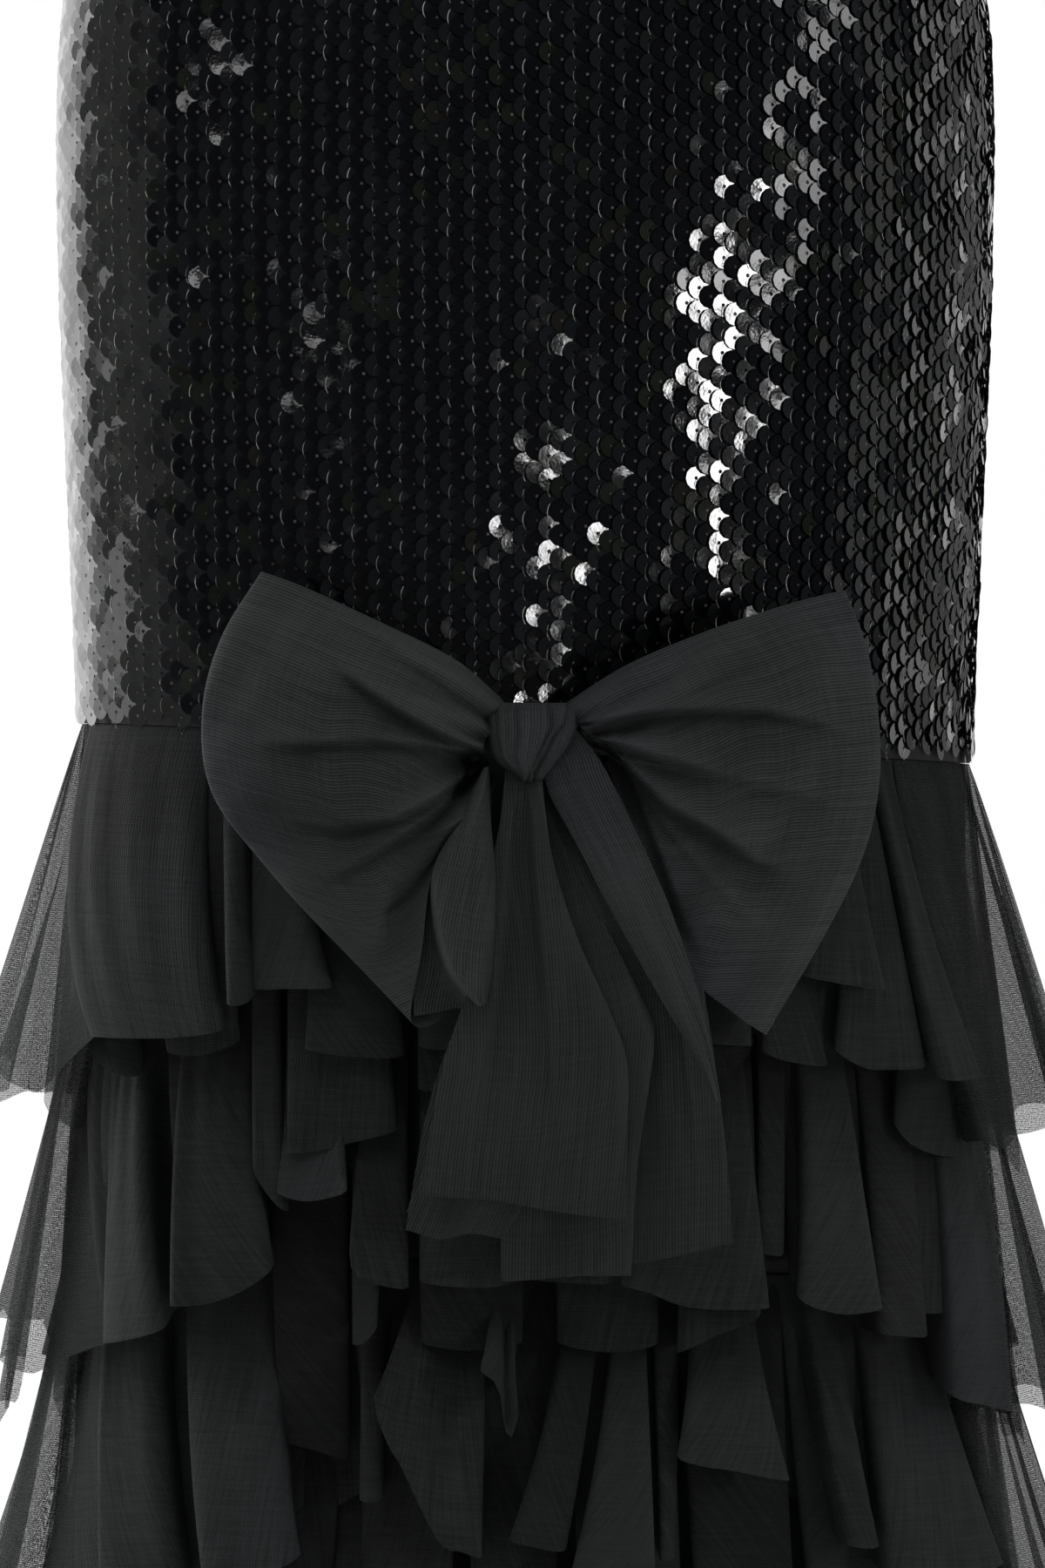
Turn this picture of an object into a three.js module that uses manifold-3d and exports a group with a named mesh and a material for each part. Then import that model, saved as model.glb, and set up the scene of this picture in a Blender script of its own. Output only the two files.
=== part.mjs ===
// A floor-length strapless gown: a fitted sequinned sheath down to the thigh, a skirt of seven gathered
// tulle tiers sewn to a plain underskirt, and a large tulle bow at the front of the seam between them.
// Millimetres, +Z up. The front faces -Y and +X is the wearer's left. The origin lies on the wearer's
// centre line at bust level, where the boned top of the gown is held.
import * as THREE from "three";
import Module from "manifold-3d";
import { mergeVertices } from "three/addons/utils/BufferGeometryUtils.js";

const wasm = await Module();
wasm.setup();

// ---------------------------------------------------------------- driving dimensions
const seqWall = 2; // sequinned cloth, backing and sequins together
const netWall = 1.2; // one tulle flounce
const bowWall = 1.4; // the bow's folded tulle
const gap = 0.3; // between pieces that are sewn together

const seamHeight = -573; // where the sheath ends and the tulle starts, at the centre
const seamTilt = -0.045; // the seam drops this much for each mm towards +X
const leftSeamAngle = -64; // the side seams, in degrees round from the front
const rightSeamAngle = 72;
const underskirtInset = 2.2; // the underskirt lies this far inside the sheath's face
const underskirtHem = -1262;

const tierCount = 7;
const tierPitch = 100; // from hem to hem
const firstTierDrop = 113; // the seam to the first hem
const tierOverlap = 28; // how far a tier hangs over the top of the next
const tierFlare = 0.95; // below 1, a tier swings out more near its top
const chordRoom = 0.4; // the flat facets of a gathered edge lie up to this far inside its curve
const valleyOut = 19; // how far the inner folds stand off the underskirt at the hem
const sideDroop = 17; // the hems hang this much lower at the sides and back

// The general figure that the gown is cut for: half width, and depth ahead of and behind the centre line.
const figure = [
  { z: -1320, side: 240, front: 196, back: 270 },
  { z: -1100, side: 198, front: 152, back: 196 },
  { z: -880, side: 171, front: 120, back: 140 },
  { z: -700, side: 165, front: 109, back: 122 },
  { z: -573, side: 163.5, front: 106, back: 118 },
  { z: -480, side: 167, front: 108, back: 124 },
  { z: -380, side: 170.5, front: 109, back: 130 },
  { z: -299, side: 168, front: 104, back: 121 },
  { z: -240, side: 152, front: 97, back: 103 },
  { z: -178, side: 130, front: 90, back: 85 },
  { z: -80, side: 135, front: 93, back: 86 },
  { z: 0, side: 147, front: 97, back: 92 },
  { z: 100, side: 151, front: 84, back: 90 },
];
const squareness = 0.035; // how much fuller than an ellipse a section is between its axes
const cup = { apart: 76, depth: 21, wide: 47, tall: 54, low: -4 };

// The top edge, from the centre front round to the centre back.
const topEdge = [
  { angle: 0, z: 36 },
  { angle: 20, z: 56 },
  { angle: 38, z: 66 },
  { angle: 62, z: 58 },
  { angle: 95, z: 40 },
  { angle: 140, z: 14 },
  { angle: 180, z: 6 },
];

// The outward folds of the first three tiers over the front half: the middle and half width of each fold's
// face in degrees, how far its face stands off the underskirt at the hem, how much longer than the tier it
// hangs there, and how far its +X corner hangs below its -X corner.
const frontFolds = [
  [
    { at: -92, half: 7, out: 40, drop: 8, slope: -4 },
    { at: -70, half: 6, out: 31, drop: 12, slope: 6 },
    { at: -44, half: 13, out: 29, drop: 0, slope: -5 },
    { at: -21, half: 5, out: 21, drop: -15, slope: 4 },
    { at: 1, half: 9, out: 20, drop: -8, slope: 3 },
    { at: 24, half: 6, out: 22, drop: -18, slope: 6 },
    { at: 44, half: 7, out: 30, drop: -4, slope: 16 },
    { at: 66, half: 7, out: 33, drop: 8, slope: 6 },
    { at: 89, half: 7, out: 40, drop: 6, slope: 4 },
  ],
  [
    { at: -90, half: 8, out: 27, drop: 26, slope: -5 },
    { at: -62, half: 7, out: 33, drop: 4, slope: -5 },
    { at: -38, half: 9, out: 32, drop: 0, slope: -15 },
    { at: -17, half: 6, out: 29, drop: -20, slope: 5 },
    { at: 4, half: 8, out: 27, drop: -6, slope: 4 },
    { at: 24, half: 7, out: 30, drop: -4, slope: 6 },
    { at: 42, half: 6, out: 34, drop: 2, slope: 3 },
    { at: 63, half: 8, out: 35, drop: 12, slope: 11 },
    { at: 88, half: 8, out: 41, drop: 8, slope: 5 },
  ],
  [
    { at: -91, half: 8, out: 29, drop: 20, slope: -4 },
    { at: -66, half: 7, out: 34, drop: 6, slope: 4 },
    { at: -43, half: 9, out: 35, drop: -2, slope: 5 },
    { at: -22, half: 6, out: 30, drop: 4, slope: -12 },
    { at: -4, half: 6, out: 33, drop: -4, slope: 14 },
    { at: 19, half: 8, out: 35, drop: -18, slope: 9 },
    { at: 41, half: 8, out: 34, drop: 2, slope: 8 },
    { at: 64, half: 7, out: 37, drop: 6, slope: -4 },
    { at: 89, half: 8, out: 42, drop: 8, slope: 5 },
  ],
];
const backFoldCount = 7; // the folds behind those of the first three tiers
const lowerFoldCount = 16; // all round each of the other tiers

// The folds that the tables above leave out vary about these by their own amounts. Stray and half are shares
// of the room between folds, and each tier's folds stand a little further off than those of the one above.
const plainFold = { stray: 0.1, half: 0.31, out: 37, outPerTier: 0.8, drop: 3 };
const plainFoldVaries = { half: 0.05, out: 4, drop: 9, slope: 9 };
// Shares of the room between two folds: half a face and the two sides of a valley at the sewn edge, and half
// a valley at the hem.
const gathered = { face: 0.17, valleyStart: 0.4, valleyEnd: 0.6, valleyHalf: 0.32 };
const valleyRise = 3; // a valley's hem hangs this much higher than its two folds'
const topRipple = 0.8; // the gathers stand out this much at the sewn edge

// The bow. Each row is one line across a loop's band: where its outer fold lies, how far the middle of the
// loop stands ahead of the seam's front there, and half the puff between its two layers.
const bowCentre = { x: 3, z: -576 };
const leftLoop = [
  { x: -93, z: -517, ahead: 12, puff: 5 },
  { x: -109, z: -545, ahead: 13, puff: 8 },
  { x: -114, z: -577, ahead: 17, puff: 9 },
  { x: -107, z: -606, ahead: 22, puff: 9 },
  { x: -86, z: -641, ahead: 29, puff: 9 },
  { x: -58, z: -663, ahead: 35, puff: 8 },
  { x: -33, z: -673, ahead: 40, puff: 6 },
];
const rightLoop = [
  { x: 116, z: -523, ahead: 12, puff: 5 },
  { x: 122, z: -548, ahead: 13, puff: 8 },
  { x: 126, z: -577, ahead: 16, puff: 9 },
  { x: 126, z: -604, ahead: 21, puff: 8 },
  { x: 112, z: -636, ahead: 27, puff: 7 },
  { x: 88, z: -678, ahead: 30, puff: 5 },
  { x: 62, z: -655, ahead: 27, puff: 4 },
];
const loopRoot = { clear: 0.8, tall: 19, puff: 3.2, ahead: 14.2 };
const loopCrease = { count: 2.5, deep: 3.5 };
// The bore through the knot and its drawn-in ends are shares of its size.
const knot = { half: 16.5, tall: 15.5, deep: 12.5, bore: 0.62, pinch: 0.8 };

// Each row is one line down a tail: the height, its two side edges, and how far it hangs ahead of the seam.
const leftTail = [
  { z: -590.5, from: -5, to: 6, ahead: 25 },
  { z: -625, from: -12, to: 19, ahead: 36 },
  { z: -665, from: -21, to: 34, ahead: 47 },
  { z: -705, from: -32, to: 39, ahead: 50 },
  { z: -745, from: -41, to: 39, ahead: 50 },
];
const rightTail = [
  { z: -590.5, from: 6, to: 17, ahead: 20 },
  { z: -625, from: 8, to: 46, ahead: 30 },
  { z: -665, from: 14, to: 60, ahead: 41 },
  { z: -705, from: 22, to: 73, ahead: 45 },
  { z: -762, from: 34, to: 80, ahead: 45 },
];
const tailWave = { count: 1.5, deep: 2.2 };

const zip = { belowTop: 3, levels: 8, wide: 22, wall: 1, gap: 0.6 };
const slider = { wide: 6, tall: 9, deep: 2.6, ear: 1.2, post: 2.4, pin: 0.6, past: 1, root: 0.2 };
const pull = { long: 24, wide: 5.5, neck: 2.6, shoulder: 6, thick: 1.2, eye: 1.1, ring: 1.3 };

// ---------------------------------------------------------------- curves and sections
const radians = Math.PI / 180;
const mix = (a, b, t) => a + (b - a) * t;
const ease = (t) => t * t * (3 - 2 * t);

// A column's value at one place of a table, on a smooth curve through its rows.
function along(rows, key, column, at) {
  const last = rows.length - 1;
  let i = 0;
  while (i < last - 1 && at > rows[i + 1][key]) i++;
  const [before, low, high, after] = [i - 1, i, i + 1, i + 2].map((n) => rows[Math.min(Math.max(n, 0), last)]);
  const step = high[key] - low[key];
  const t = Math.min(Math.max((at - low[key]) / step, 0), 1);
  const slopeLow = ((high[column] - before[column]) / (high[key] - before[key])) * step;
  const slopeHigh = ((after[column] - low[column]) / (after[key] - low[key])) * step;
  return (
    (2 * t ** 3 - 3 * t ** 2 + 1) * low[column] +
    (t ** 3 - 2 * t ** 2 + t) * slopeLow +
    (3 * t ** 2 - 2 * t ** 3) * high[column] +
    (t ** 3 - t ** 2) * slopeHigh
  );
}

// The point at one angle and height of the figure, moved out from it.
function figurePoint(angle, z, out = 0) {
  const a = angle * radians;
  const side = along(figure, "z", "side", z);
  const depth = along(figure, "z", Math.cos(a) > 0 ? "front" : "back", z);
  const full = 1 + squareness * Math.sin(2 * a) ** 2;
  const x = side * Math.sin(a) * full;
  const y = -depth * Math.cos(a) * full;
  const normal = new THREE.Vector2(Math.sin(a) / side, -Math.cos(a) / depth).normalize();
  const fromCup = Math.hypot((Math.abs(x) - cup.apart) / cup.wide, (z - cup.low) / cup.tall);
  const cupOut = y < 0 ? cup.depth * Math.exp(-(fromCup ** 2)) * ease(Math.min(-y / depth, 1)) : 0;
  return new THREE.Vector3(x + normal.x * (out + cupOut), y + normal.y * (out + cupOut), z);
}

const turned = (angle) => Math.abs(((((angle + 180) % 360) + 360) % 360) - 180);
const topHeight = (angle) => along(topEdge, "angle", "z", turned(angle));
const tilt = (angle, z) => seamTilt * figurePoint(angle, z).x;
const seamAt = (angle) => seamHeight + tilt(angle, seamHeight);

// ---------------------------------------------------------------- cloth walls
// A wall between two grids of points with the same rows and columns. A ring's last column meets its first.
function wallBetween(outer, inner, ring = false) {
  const rows = outer.length;
  const columns = outer[0].length;
  const total = rows * columns;
  const index = [];
  const quad = (a, b, c, d) => index.push(a, b, c, a, c, d);
  const spans = ring ? columns : columns - 1;
  const low = total - columns;
  for (let i = 0; i < spans; i++) {
    const next = (i + 1) % columns;
    for (let j = 0; j < rows - 1; j++) {
      const [a, b, c, d] = [i, next, columns + next, columns + i].map((n) => n + j * columns);
      quad(a, d, c, b);
      quad(total + a, total + b, total + c, total + d);
    }
    quad(i, next, total + next, total + i);
    quad(low + i, total + low + i, total + low + next, low + next);
  }
  if (!ring)
    for (let j = 0; j < rows - 1; j++) {
      const [a, d] = [j * columns, (j + 1) * columns];
      const [b, c] = [a + columns - 1, d + columns - 1];
      quad(a, total + a, total + d, d);
      quad(b, c, total + c, total + b);
    }
  return solidGeometry([...outer.flat(), ...inner.flat()], index);
}

// A wall of one thickness with a grid of points down its middle.
function wallAbout(grid, thick, ring = false) {
  const columns = grid[0].length;
  const column = (i) => (ring ? (i + columns) % columns : Math.min(Math.max(i, 0), columns - 1));
  const row = (j) => Math.min(Math.max(j, 0), grid.length - 1);
  const normal = (j, i) => {
    const across = grid[j][column(i + 1)].clone().sub(grid[j][column(i - 1)]).normalize();
    const down = grid[row(j + 1)][i].clone().sub(grid[row(j - 1)][i]).normalize();
    return down.cross(across).normalize();
  };
  const face = (out) =>
    grid.map((line, j) => line.map((point, i) => point.clone().addScaledVector(normal(j, i), out)));
  return wallBetween(face(thick / 2), face(-thick / 2), ring);
}

// A closed mesh with its faces turned out.
function solidGeometry(points, index) {
  let volume = 0;
  for (let i = 0; i < index.length; i += 3) {
    const [a, b, c] = [0, 1, 2].map((k) => points[index[i + k]]);
    volume += a.dot(b.clone().cross(c));
  }
  if (volume < 0) for (let i = 0; i < index.length; i += 3) [index[i], index[i + 1]] = [index[i + 1], index[i]];
  return new THREE.BufferGeometry().setFromPoints(points).setIndex(index);
}

// ---------------------------------------------------------------- the sheath
const seamGapAngle = 0.11; // each side of an upright seam
const sheathLevels = [0, 0.07, 0.14, 0.23, 0.32, 0.39, 0.46, 0.55, 0.67, 0.83, 1];

function sheathPanel(fromAngle, toAngle, columns) {
  const face = (out) =>
    sheathLevels.map((level) =>
      Array.from({ length: columns }, (_, i) => {
        const angle = mix(fromAngle + seamGapAngle, toAngle - seamGapAngle, i / (columns - 1));
        return figurePoint(angle, mix(topHeight(angle), seamAt(angle), level), out);
      }),
    );
  return wallBetween(face(0), face(-seqWall));
}

// ---------------------------------------------------------------- the underskirt and its tiers
const onUnderskirt = (angle, z, out = 0) => figurePoint(angle, z, out - underskirtInset);

// Its panels are seamed below those of the sheath. They have a row of points where each tier is sewn on, so
// that the tiers' top edges follow them.
function underskirtPanel(fromAngle, toAngle, columns) {
  const rowHeights = [...Array.from({ length: tierCount }, (_, n) => tierTop(n + 1)), underskirtHem];
  const face = (out) =>
    rowHeights.map((height) =>
      Array.from({ length: columns }, (_, i) => {
        const angle = mix(fromAngle + seamGapAngle, toAngle - seamGapAngle, i / (columns - 1));
        return onUnderskirt(angle, height + tilt(angle, height), out);
      }),
    );
  return wallBetween(face(0), face(-netWall));
}

// An uneven but repeatable value from -1 to 1, so that no two folds are alike.
const uneven = (n) => Math.sin(n * 12.9898) * 0.6 + Math.sin(n * 4.1414 + 1.3) * 0.4;

function madeFold(tier, n, at, room) {
  const seed = tier * 31 + n * 7;
  return {
    at: at + room * plainFold.stray * uneven(seed),
    half: room * (plainFold.half + plainFoldVaries.half * uneven(seed + 1)),
    out: plainFold.out + plainFoldVaries.out * uneven(seed + 2) + tier * plainFold.outPerTier,
    drop: plainFold.drop + plainFoldVaries.drop * uneven(seed + 3),
    slope: plainFoldVaries.slope * uneven(seed + 4),
  };
}

function foldsOf(tier) {
  if (tier > frontFolds.length) {
    const room = 360 / lowerFoldCount;
    return Array.from({ length: lowerFoldCount }, (_, n) => madeFold(tier, n, -180 + room * (n + 0.5), room));
  }
  const front = frontFolds[tier - 1];
  const behind = 360 - (front.at(-1).at - front[0].at);
  const room = behind / (backFoldCount + 1);
  const made = (_, n) => madeFold(tier, n, front.at(-1).at + room * (n + 1), room);
  return [...front, ...Array.from({ length: backFoldCount }, made)];
}

// The four corners of each fold in order round the tier: two on its face and two in the valley after it.
function cornersOf(tier) {
  const folds = foldsOf(tier);
  return folds.flatMap((fold, n) => {
    const next = folds[(n + 1) % folds.length];
    const nextAt = n + 1 === folds.length ? next.at + 360 : next.at;
    const previous = folds[(n + folds.length - 1) % folds.length];
    const previousAt = n === 0 ? previous.at - 360 : previous.at;
    const [roomBefore, roomAfter] = [fold.at - previousAt, nextAt - fold.at];
    const valley = (fold.at + fold.half + nextAt - next.half) / 2;
    const valleyHalf = (nextAt - next.half - fold.at - fold.half) * gathered.valleyHalf;
    const valleyDrop = (fold.drop + next.drop) / 2 - valleyRise;
    const corner = (top, hem, out, drop) => ({ top, hem, out, drop });
    const { at, half, out, drop, slope } = fold;
    return [
      corner(at - roomBefore * gathered.face, at - half, out, drop - slope / 2),
      corner(at + roomAfter * gathered.face, at + half, out, drop + slope / 2),
      corner(at + roomAfter * gathered.valleyStart, valley - valleyHalf, valleyOut, valleyDrop),
      corner(at + roomAfter * gathered.valleyEnd, valley + valleyHalf, valleyOut, valleyDrop),
    ];
  });
}

const hemHeight = (tier) => seamHeight - firstTierDrop - (tier - 1) * tierPitch;
const tierTop = (tier) => (tier === 1 ? seamHeight - gap : hemHeight(tier - 1) + tierOverlap);
const droop = (angle) => sideDroop * Math.sin((angle * radians) / 2) ** 1.2 || 0;

function tierWall(tier) {
  const corners = cornersOf(tier);
  const topOut = gap + chordRoom + netWall / 2;
  const grid = [0, 0.45, 1].map((level) =>
    corners.map((corner) => {
      const angle = mix(corner.top, corner.hem, ease(level) * 0.5 + level * 0.5);
      const top = tierTop(tier);
      const hem = hemHeight(tier) - corner.drop - droop(turned(angle));
      const z = mix(top, hem, level) + tilt(angle, top);
      const start = topOut + (corner.out > valleyOut ? topRipple : 0);
      return onUnderskirt(angle, z, mix(start, corner.out, level ** tierFlare));
    }),
  );
  return wallAbout(grid, netWall, true);
}

// ---------------------------------------------------------------- the bow
const seamFront = figurePoint(0, seamHeight).y;

// One loop: its band leaves the knot in front, turns at its outer fold and comes back behind.
function bowLoop(rows, side) {
  const steps = 12;
  const columns = 9;
  const keyed = rows.map((row, n) => ({ ...row, n }));
  const grid = Array.from({ length: columns }, (_, c) => {
    const across = c / (columns - 1);
    const at = across * (rows.length - 1);
    const [x, z, ahead, puff] = ["x", "z", "ahead", "puff"].map((name) => along(keyed, "n", name, at));
    const crease = Math.cos(2 * Math.PI * loopCrease.count * across) * loopCrease.deep;
    return Array.from({ length: steps + 1 }, (_, s) => {
      const turn = (Math.PI * s) / steps;
      const reach = Math.sin(turn);
      const opening = ease(Math.min(reach / 0.5, 1));
      const half = mix(loopRoot.puff, puff, opening);
      const middle = mix(loopRoot.ahead, ahead, reach);
      const fold = crease * opening * (1 - reach * 0.75) * Math.max(Math.cos(turn), 0);
      return new THREE.Vector3(
        mix(bowCentre.x + side * (knot.half + loopRoot.clear), x, reach),
        seamFront - middle - half * Math.cos(turn) - fold,
        mix(bowCentre.z + loopRoot.tall * (0.5 - across), z, reach),
      );
    });
  });
  return wallAbout(grid, bowWall);
}

// The knot is a short band round the loops' roots, drawn in at its two ends.
function bowKnot() {
  const stations = [-1, -0.85, -0.4, 0.4, 0.85, 1];
  const around = 14;
  const outer = (u) => mix(knot.pinch, 1, Math.sqrt(Math.max(1 - u ** 2, 0)) ** 0.7);
  const profile = [
    ...stations.map((u) => new THREE.Vector2(outer(u), u)),
    ...stations.toReversed().map((u) => new THREE.Vector2(knot.bore, u)),
  ];
  const ring = new THREE.LatheGeometry([...profile, profile[0]], around);
  ring.deleteAttribute("normal");
  ring.deleteAttribute("uv");
  const merged = mergeVertices(ring, 1e-4);
  merged.rotateZ(Math.PI / 2);
  merged.scale(knot.half, knot.deep, knot.tall);
  const at = merged.getAttribute("position");
  const points = Array.from({ length: at.count }, (_, n) => new THREE.Vector3().fromBufferAttribute(at, n));
  return solidGeometry(points, Array.from(merged.index.array));
}

function bowTail(rows) {
  const columns = 6;
  const down = rows.map((row) => ({ ...row, depth: -row.z }));
  const grid = rows.map((row) =>
    Array.from({ length: columns }, (_, c) => {
      const across = c / (columns - 1);
      const spread = ease(Math.min((rows[0].z - row.z) / 60, 1));
      const wave = Math.cos(2 * Math.PI * tailWave.count * across) * tailWave.deep * spread;
      const ahead = along(down, "depth", "ahead", -row.z);
      return new THREE.Vector3(mix(row.from, row.to, across), seamFront - ahead - wave, row.z);
    }),
  );
  return wallAbout(grid, bowWall);
}

// ---------------------------------------------------------------- the zip
function solidOf(geometry) {
  const bare = geometry.clone();
  bare.deleteAttribute("normal");
  bare.deleteAttribute("uv");
  const merged = mergeVertices(bare, 1e-4);
  const vertProperties = new Float32Array(merged.getAttribute("position").array);
  const triVerts = new Uint32Array(merged.index.array);
  return new wasm.Manifold(new wasm.Mesh({ numProp: 3, vertProperties, triVerts }));
}

function geometryOf(solid) {
  const mesh = solid.getMesh();
  return new THREE.BufferGeometry()
    .setAttribute("position", new THREE.BufferAttribute(new Float32Array(mesh.vertProperties), 3))
    .setIndex(new THREE.BufferAttribute(new Uint32Array(mesh.triVerts), 1));
}

function boxAt(wide, deep, tall, x, y, z) {
  return new THREE.BoxGeometry(wide, deep, tall).translate(x, y, z);
}

// The tape lies behind the two back panels along their seam, on the same levels as theirs.
function zipTape() {
  const halfAngle = zip.wide / 2 / along(figure, "z", "back", seamHeight) / radians;
  const face = (out) =>
    sheathLevels.slice(0, zip.levels).map((level) =>
      [-1, 0, 1].map((side) => {
        const angle = 180 + side * halfAngle;
        return figurePoint(angle, mix(topHeight(angle) - zip.belowTop, seamAt(angle), level), out);
      }),
    );
  return wallBetween(face(-seqWall - zip.gap), face(-seqWall - zip.gap - zip.wall));
}

const pinStandOff = pull.ring + pull.eye + gap; // from the slider's face to its pin

// The slider's block with the two ears and the pin that carry the pull. Its own origin is the pin.
function zipSlider() {
  const post = pinStandOff;
  const { wide, deep, tall } = slider;
  const body = solidOf(boxAt(wide, deep, tall, 0, -post - deep / 2, -tall / 2 + post));
  const earX = pull.neck / 2 + gap + slider.ear / 2;
  const earDeep = post + slider.past + slider.root; // from inside the block to past the pin
  const earY = (slider.past - slider.root - post) / 2;
  const ears = [-earX, earX].map((x) => solidOf(boxAt(slider.ear, earDeep, slider.post, x, earY, 0)));
  const pin = solidOf(new THREE.CylinderGeometry(slider.pin, slider.pin, 2 * earX, 10).rotateZ(Math.PI / 2));
  return geometryOf(ears.reduce((all, ear) => all.add(ear), body).add(pin));
}

// The pull hangs from the pin by its eye. Its own origin is the pin.
function zipPull() {
  const eyeOuter = pull.eye + pull.ring;
  const outline = new THREE.Shape();
  outline.moveTo(-pull.neck / 2, 0);
  outline.lineTo(-pull.neck / 2, -pull.shoulder);
  outline.lineTo(-pull.wide / 2, -pull.long + pull.wide / 2);
  outline.absarc(0, -pull.long + pull.wide / 2, pull.wide / 2, Math.PI, 2 * Math.PI, false);
  outline.lineTo(pull.neck / 2, -pull.shoulder);
  outline.lineTo(pull.neck / 2, 0);
  const settings = { depth: pull.thick, bevelEnabled: false, curveSegments: 6 };
  const blade = new THREE.ExtrudeGeometry(outline, settings);
  blade.rotateX(Math.PI / 2).translate(0, pull.thick / 2, 0);
  const eye = new THREE.CylinderGeometry(eyeOuter, eyeOuter, pull.neck, 14).rotateZ(Math.PI / 2);
  const hole = new THREE.CylinderGeometry(pull.eye, pull.eye, pull.neck * 2, 12).rotateZ(Math.PI / 2);
  return geometryOf(solidOf(blade).add(solidOf(eye)).subtract(solidOf(hole)));
}

// ---------------------------------------------------------------- the gown
const sequinned = { color: 0x0b0c0d, roughness: 0.25, metalness: 0.1 };
const tulle = { color: 0x1b1d1f, roughness: 0.9, metalness: 0 };
const lining = { color: 0x101112, roughness: 0.85, metalness: 0 };
const lacquer = { color: 0x141414, roughness: 0.35, metalness: 0.6 };

const gown = new THREE.Group();
function piece(name, geometry, finish) {
  const mesh = new THREE.Mesh(geometry, new THREE.MeshStandardMaterial(finish));
  mesh.name = name;
  gown.add(mesh);
  return mesh;
}

piece("sheath_front", sheathPanel(leftSeamAngle, rightSeamAngle, 17), sequinned);
piece("sheath_back_left", sheathPanel(rightSeamAngle, 180, 12), sequinned);
piece("sheath_back_right", sheathPanel(180, 360 + leftSeamAngle, 12), sequinned);
piece("underskirt_front", underskirtPanel(leftSeamAngle, rightSeamAngle, 13), lining);
piece("underskirt_back_left", underskirtPanel(rightSeamAngle, 180, 11), lining);
piece("underskirt_back_right", underskirtPanel(180, 360 + leftSeamAngle, 11), lining);
for (let tier = 1; tier <= tierCount; tier++) piece(`tier_${tier}`, tierWall(tier), tulle);
piece("bow_loop_left", bowLoop(leftLoop, -1), tulle);
piece("bow_loop_right", bowLoop(rightLoop, 1), tulle);
piece("bow_knot", bowKnot(), tulle).position.set(bowCentre.x, seamFront - loopRoot.ahead, bowCentre.z);
piece("bow_tail_left", bowTail(leftTail), tulle);
piece("bow_tail_right", bowTail(rightTail), tulle);

const zipEnd = figurePoint(180, topHeight(180) - zip.belowTop - slider.tall / 2);
const pinOut = gap + slider.deep + pinStandOff;
piece("zip_tape", zipTape(), lining);
for (const [name, geometry] of [
  ["zip_slider", zipSlider()],
  ["zip_pull", zipPull()],
])
  piece(name, geometry, lacquer).position.set(0, zipEnd.y + pinOut, zipEnd.z);

export default gown;
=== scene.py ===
import math

import bpy
import numpy as np
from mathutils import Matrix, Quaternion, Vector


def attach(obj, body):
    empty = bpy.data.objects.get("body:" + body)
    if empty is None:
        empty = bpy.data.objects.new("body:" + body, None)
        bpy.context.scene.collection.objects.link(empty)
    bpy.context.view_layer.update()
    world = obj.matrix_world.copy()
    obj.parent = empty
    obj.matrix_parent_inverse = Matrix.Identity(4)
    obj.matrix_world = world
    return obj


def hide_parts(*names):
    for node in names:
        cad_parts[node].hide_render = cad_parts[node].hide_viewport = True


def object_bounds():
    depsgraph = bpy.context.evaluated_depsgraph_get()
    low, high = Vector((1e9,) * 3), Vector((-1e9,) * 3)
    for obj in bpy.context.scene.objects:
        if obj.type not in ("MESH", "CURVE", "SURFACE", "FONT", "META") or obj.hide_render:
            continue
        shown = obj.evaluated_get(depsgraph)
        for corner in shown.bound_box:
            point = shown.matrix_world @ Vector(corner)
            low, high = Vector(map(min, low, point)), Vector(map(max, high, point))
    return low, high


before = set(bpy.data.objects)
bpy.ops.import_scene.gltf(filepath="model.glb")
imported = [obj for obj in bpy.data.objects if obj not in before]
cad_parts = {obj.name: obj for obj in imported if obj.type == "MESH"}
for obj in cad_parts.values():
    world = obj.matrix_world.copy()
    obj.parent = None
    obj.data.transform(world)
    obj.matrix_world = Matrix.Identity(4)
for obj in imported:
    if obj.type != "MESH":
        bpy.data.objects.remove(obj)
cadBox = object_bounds()
print("frame loaded:", len(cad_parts), "nodes")

mm = 0.001

# the form that every piece follows, in mm, with angles in degrees round from the front
gown = {
    "seamHeight": -573,  # where the sheath ends and the tulle starts, at the centre
    "seamTilt": -0.045,  # how fast that seam falls to the right, seen from ahead
    "leftSeam": -64,
    "rightSeam": 72,
    "underskirtHem": -1262,
    "underskirtInset": 2.2,  # how far the underskirt lies inside the figure
}
# the figure: height, half its width, its depth ahead and its depth behind
figureKeys = ["z", "side", "front", "back"]
figureRows = [
    (-1320, 240, 196, 270),
    (-1100, 198, 152, 196),
    (-880, 171, 120, 140),
    (-700, 165, 109, 122),
    (-573, 163.5, 106, 118),
    (-480, 167, 108, 124),
    (-380, 170.5, 109, 130),
    (-299, 168, 104, 121),
    (-240, 152, 97, 103),
    (-178, 130, 90, 85),
    (-80, 135, 93, 86),
    (0, 147, 97, 92),
    (100, 151, 84, 90),
]
squareness = 0.035  # how much fuller than an ellipse each level is
cup = {"apart": 76, "depth": 21, "wide": 47, "tall": 54, "low": -4}
# the sweetheart edge: degrees round from the front, height
topEdge = [(0, 36), (20, 56), (38, 66), (62, 58), (95, 40), (140, 14), (180, 6)]


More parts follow.
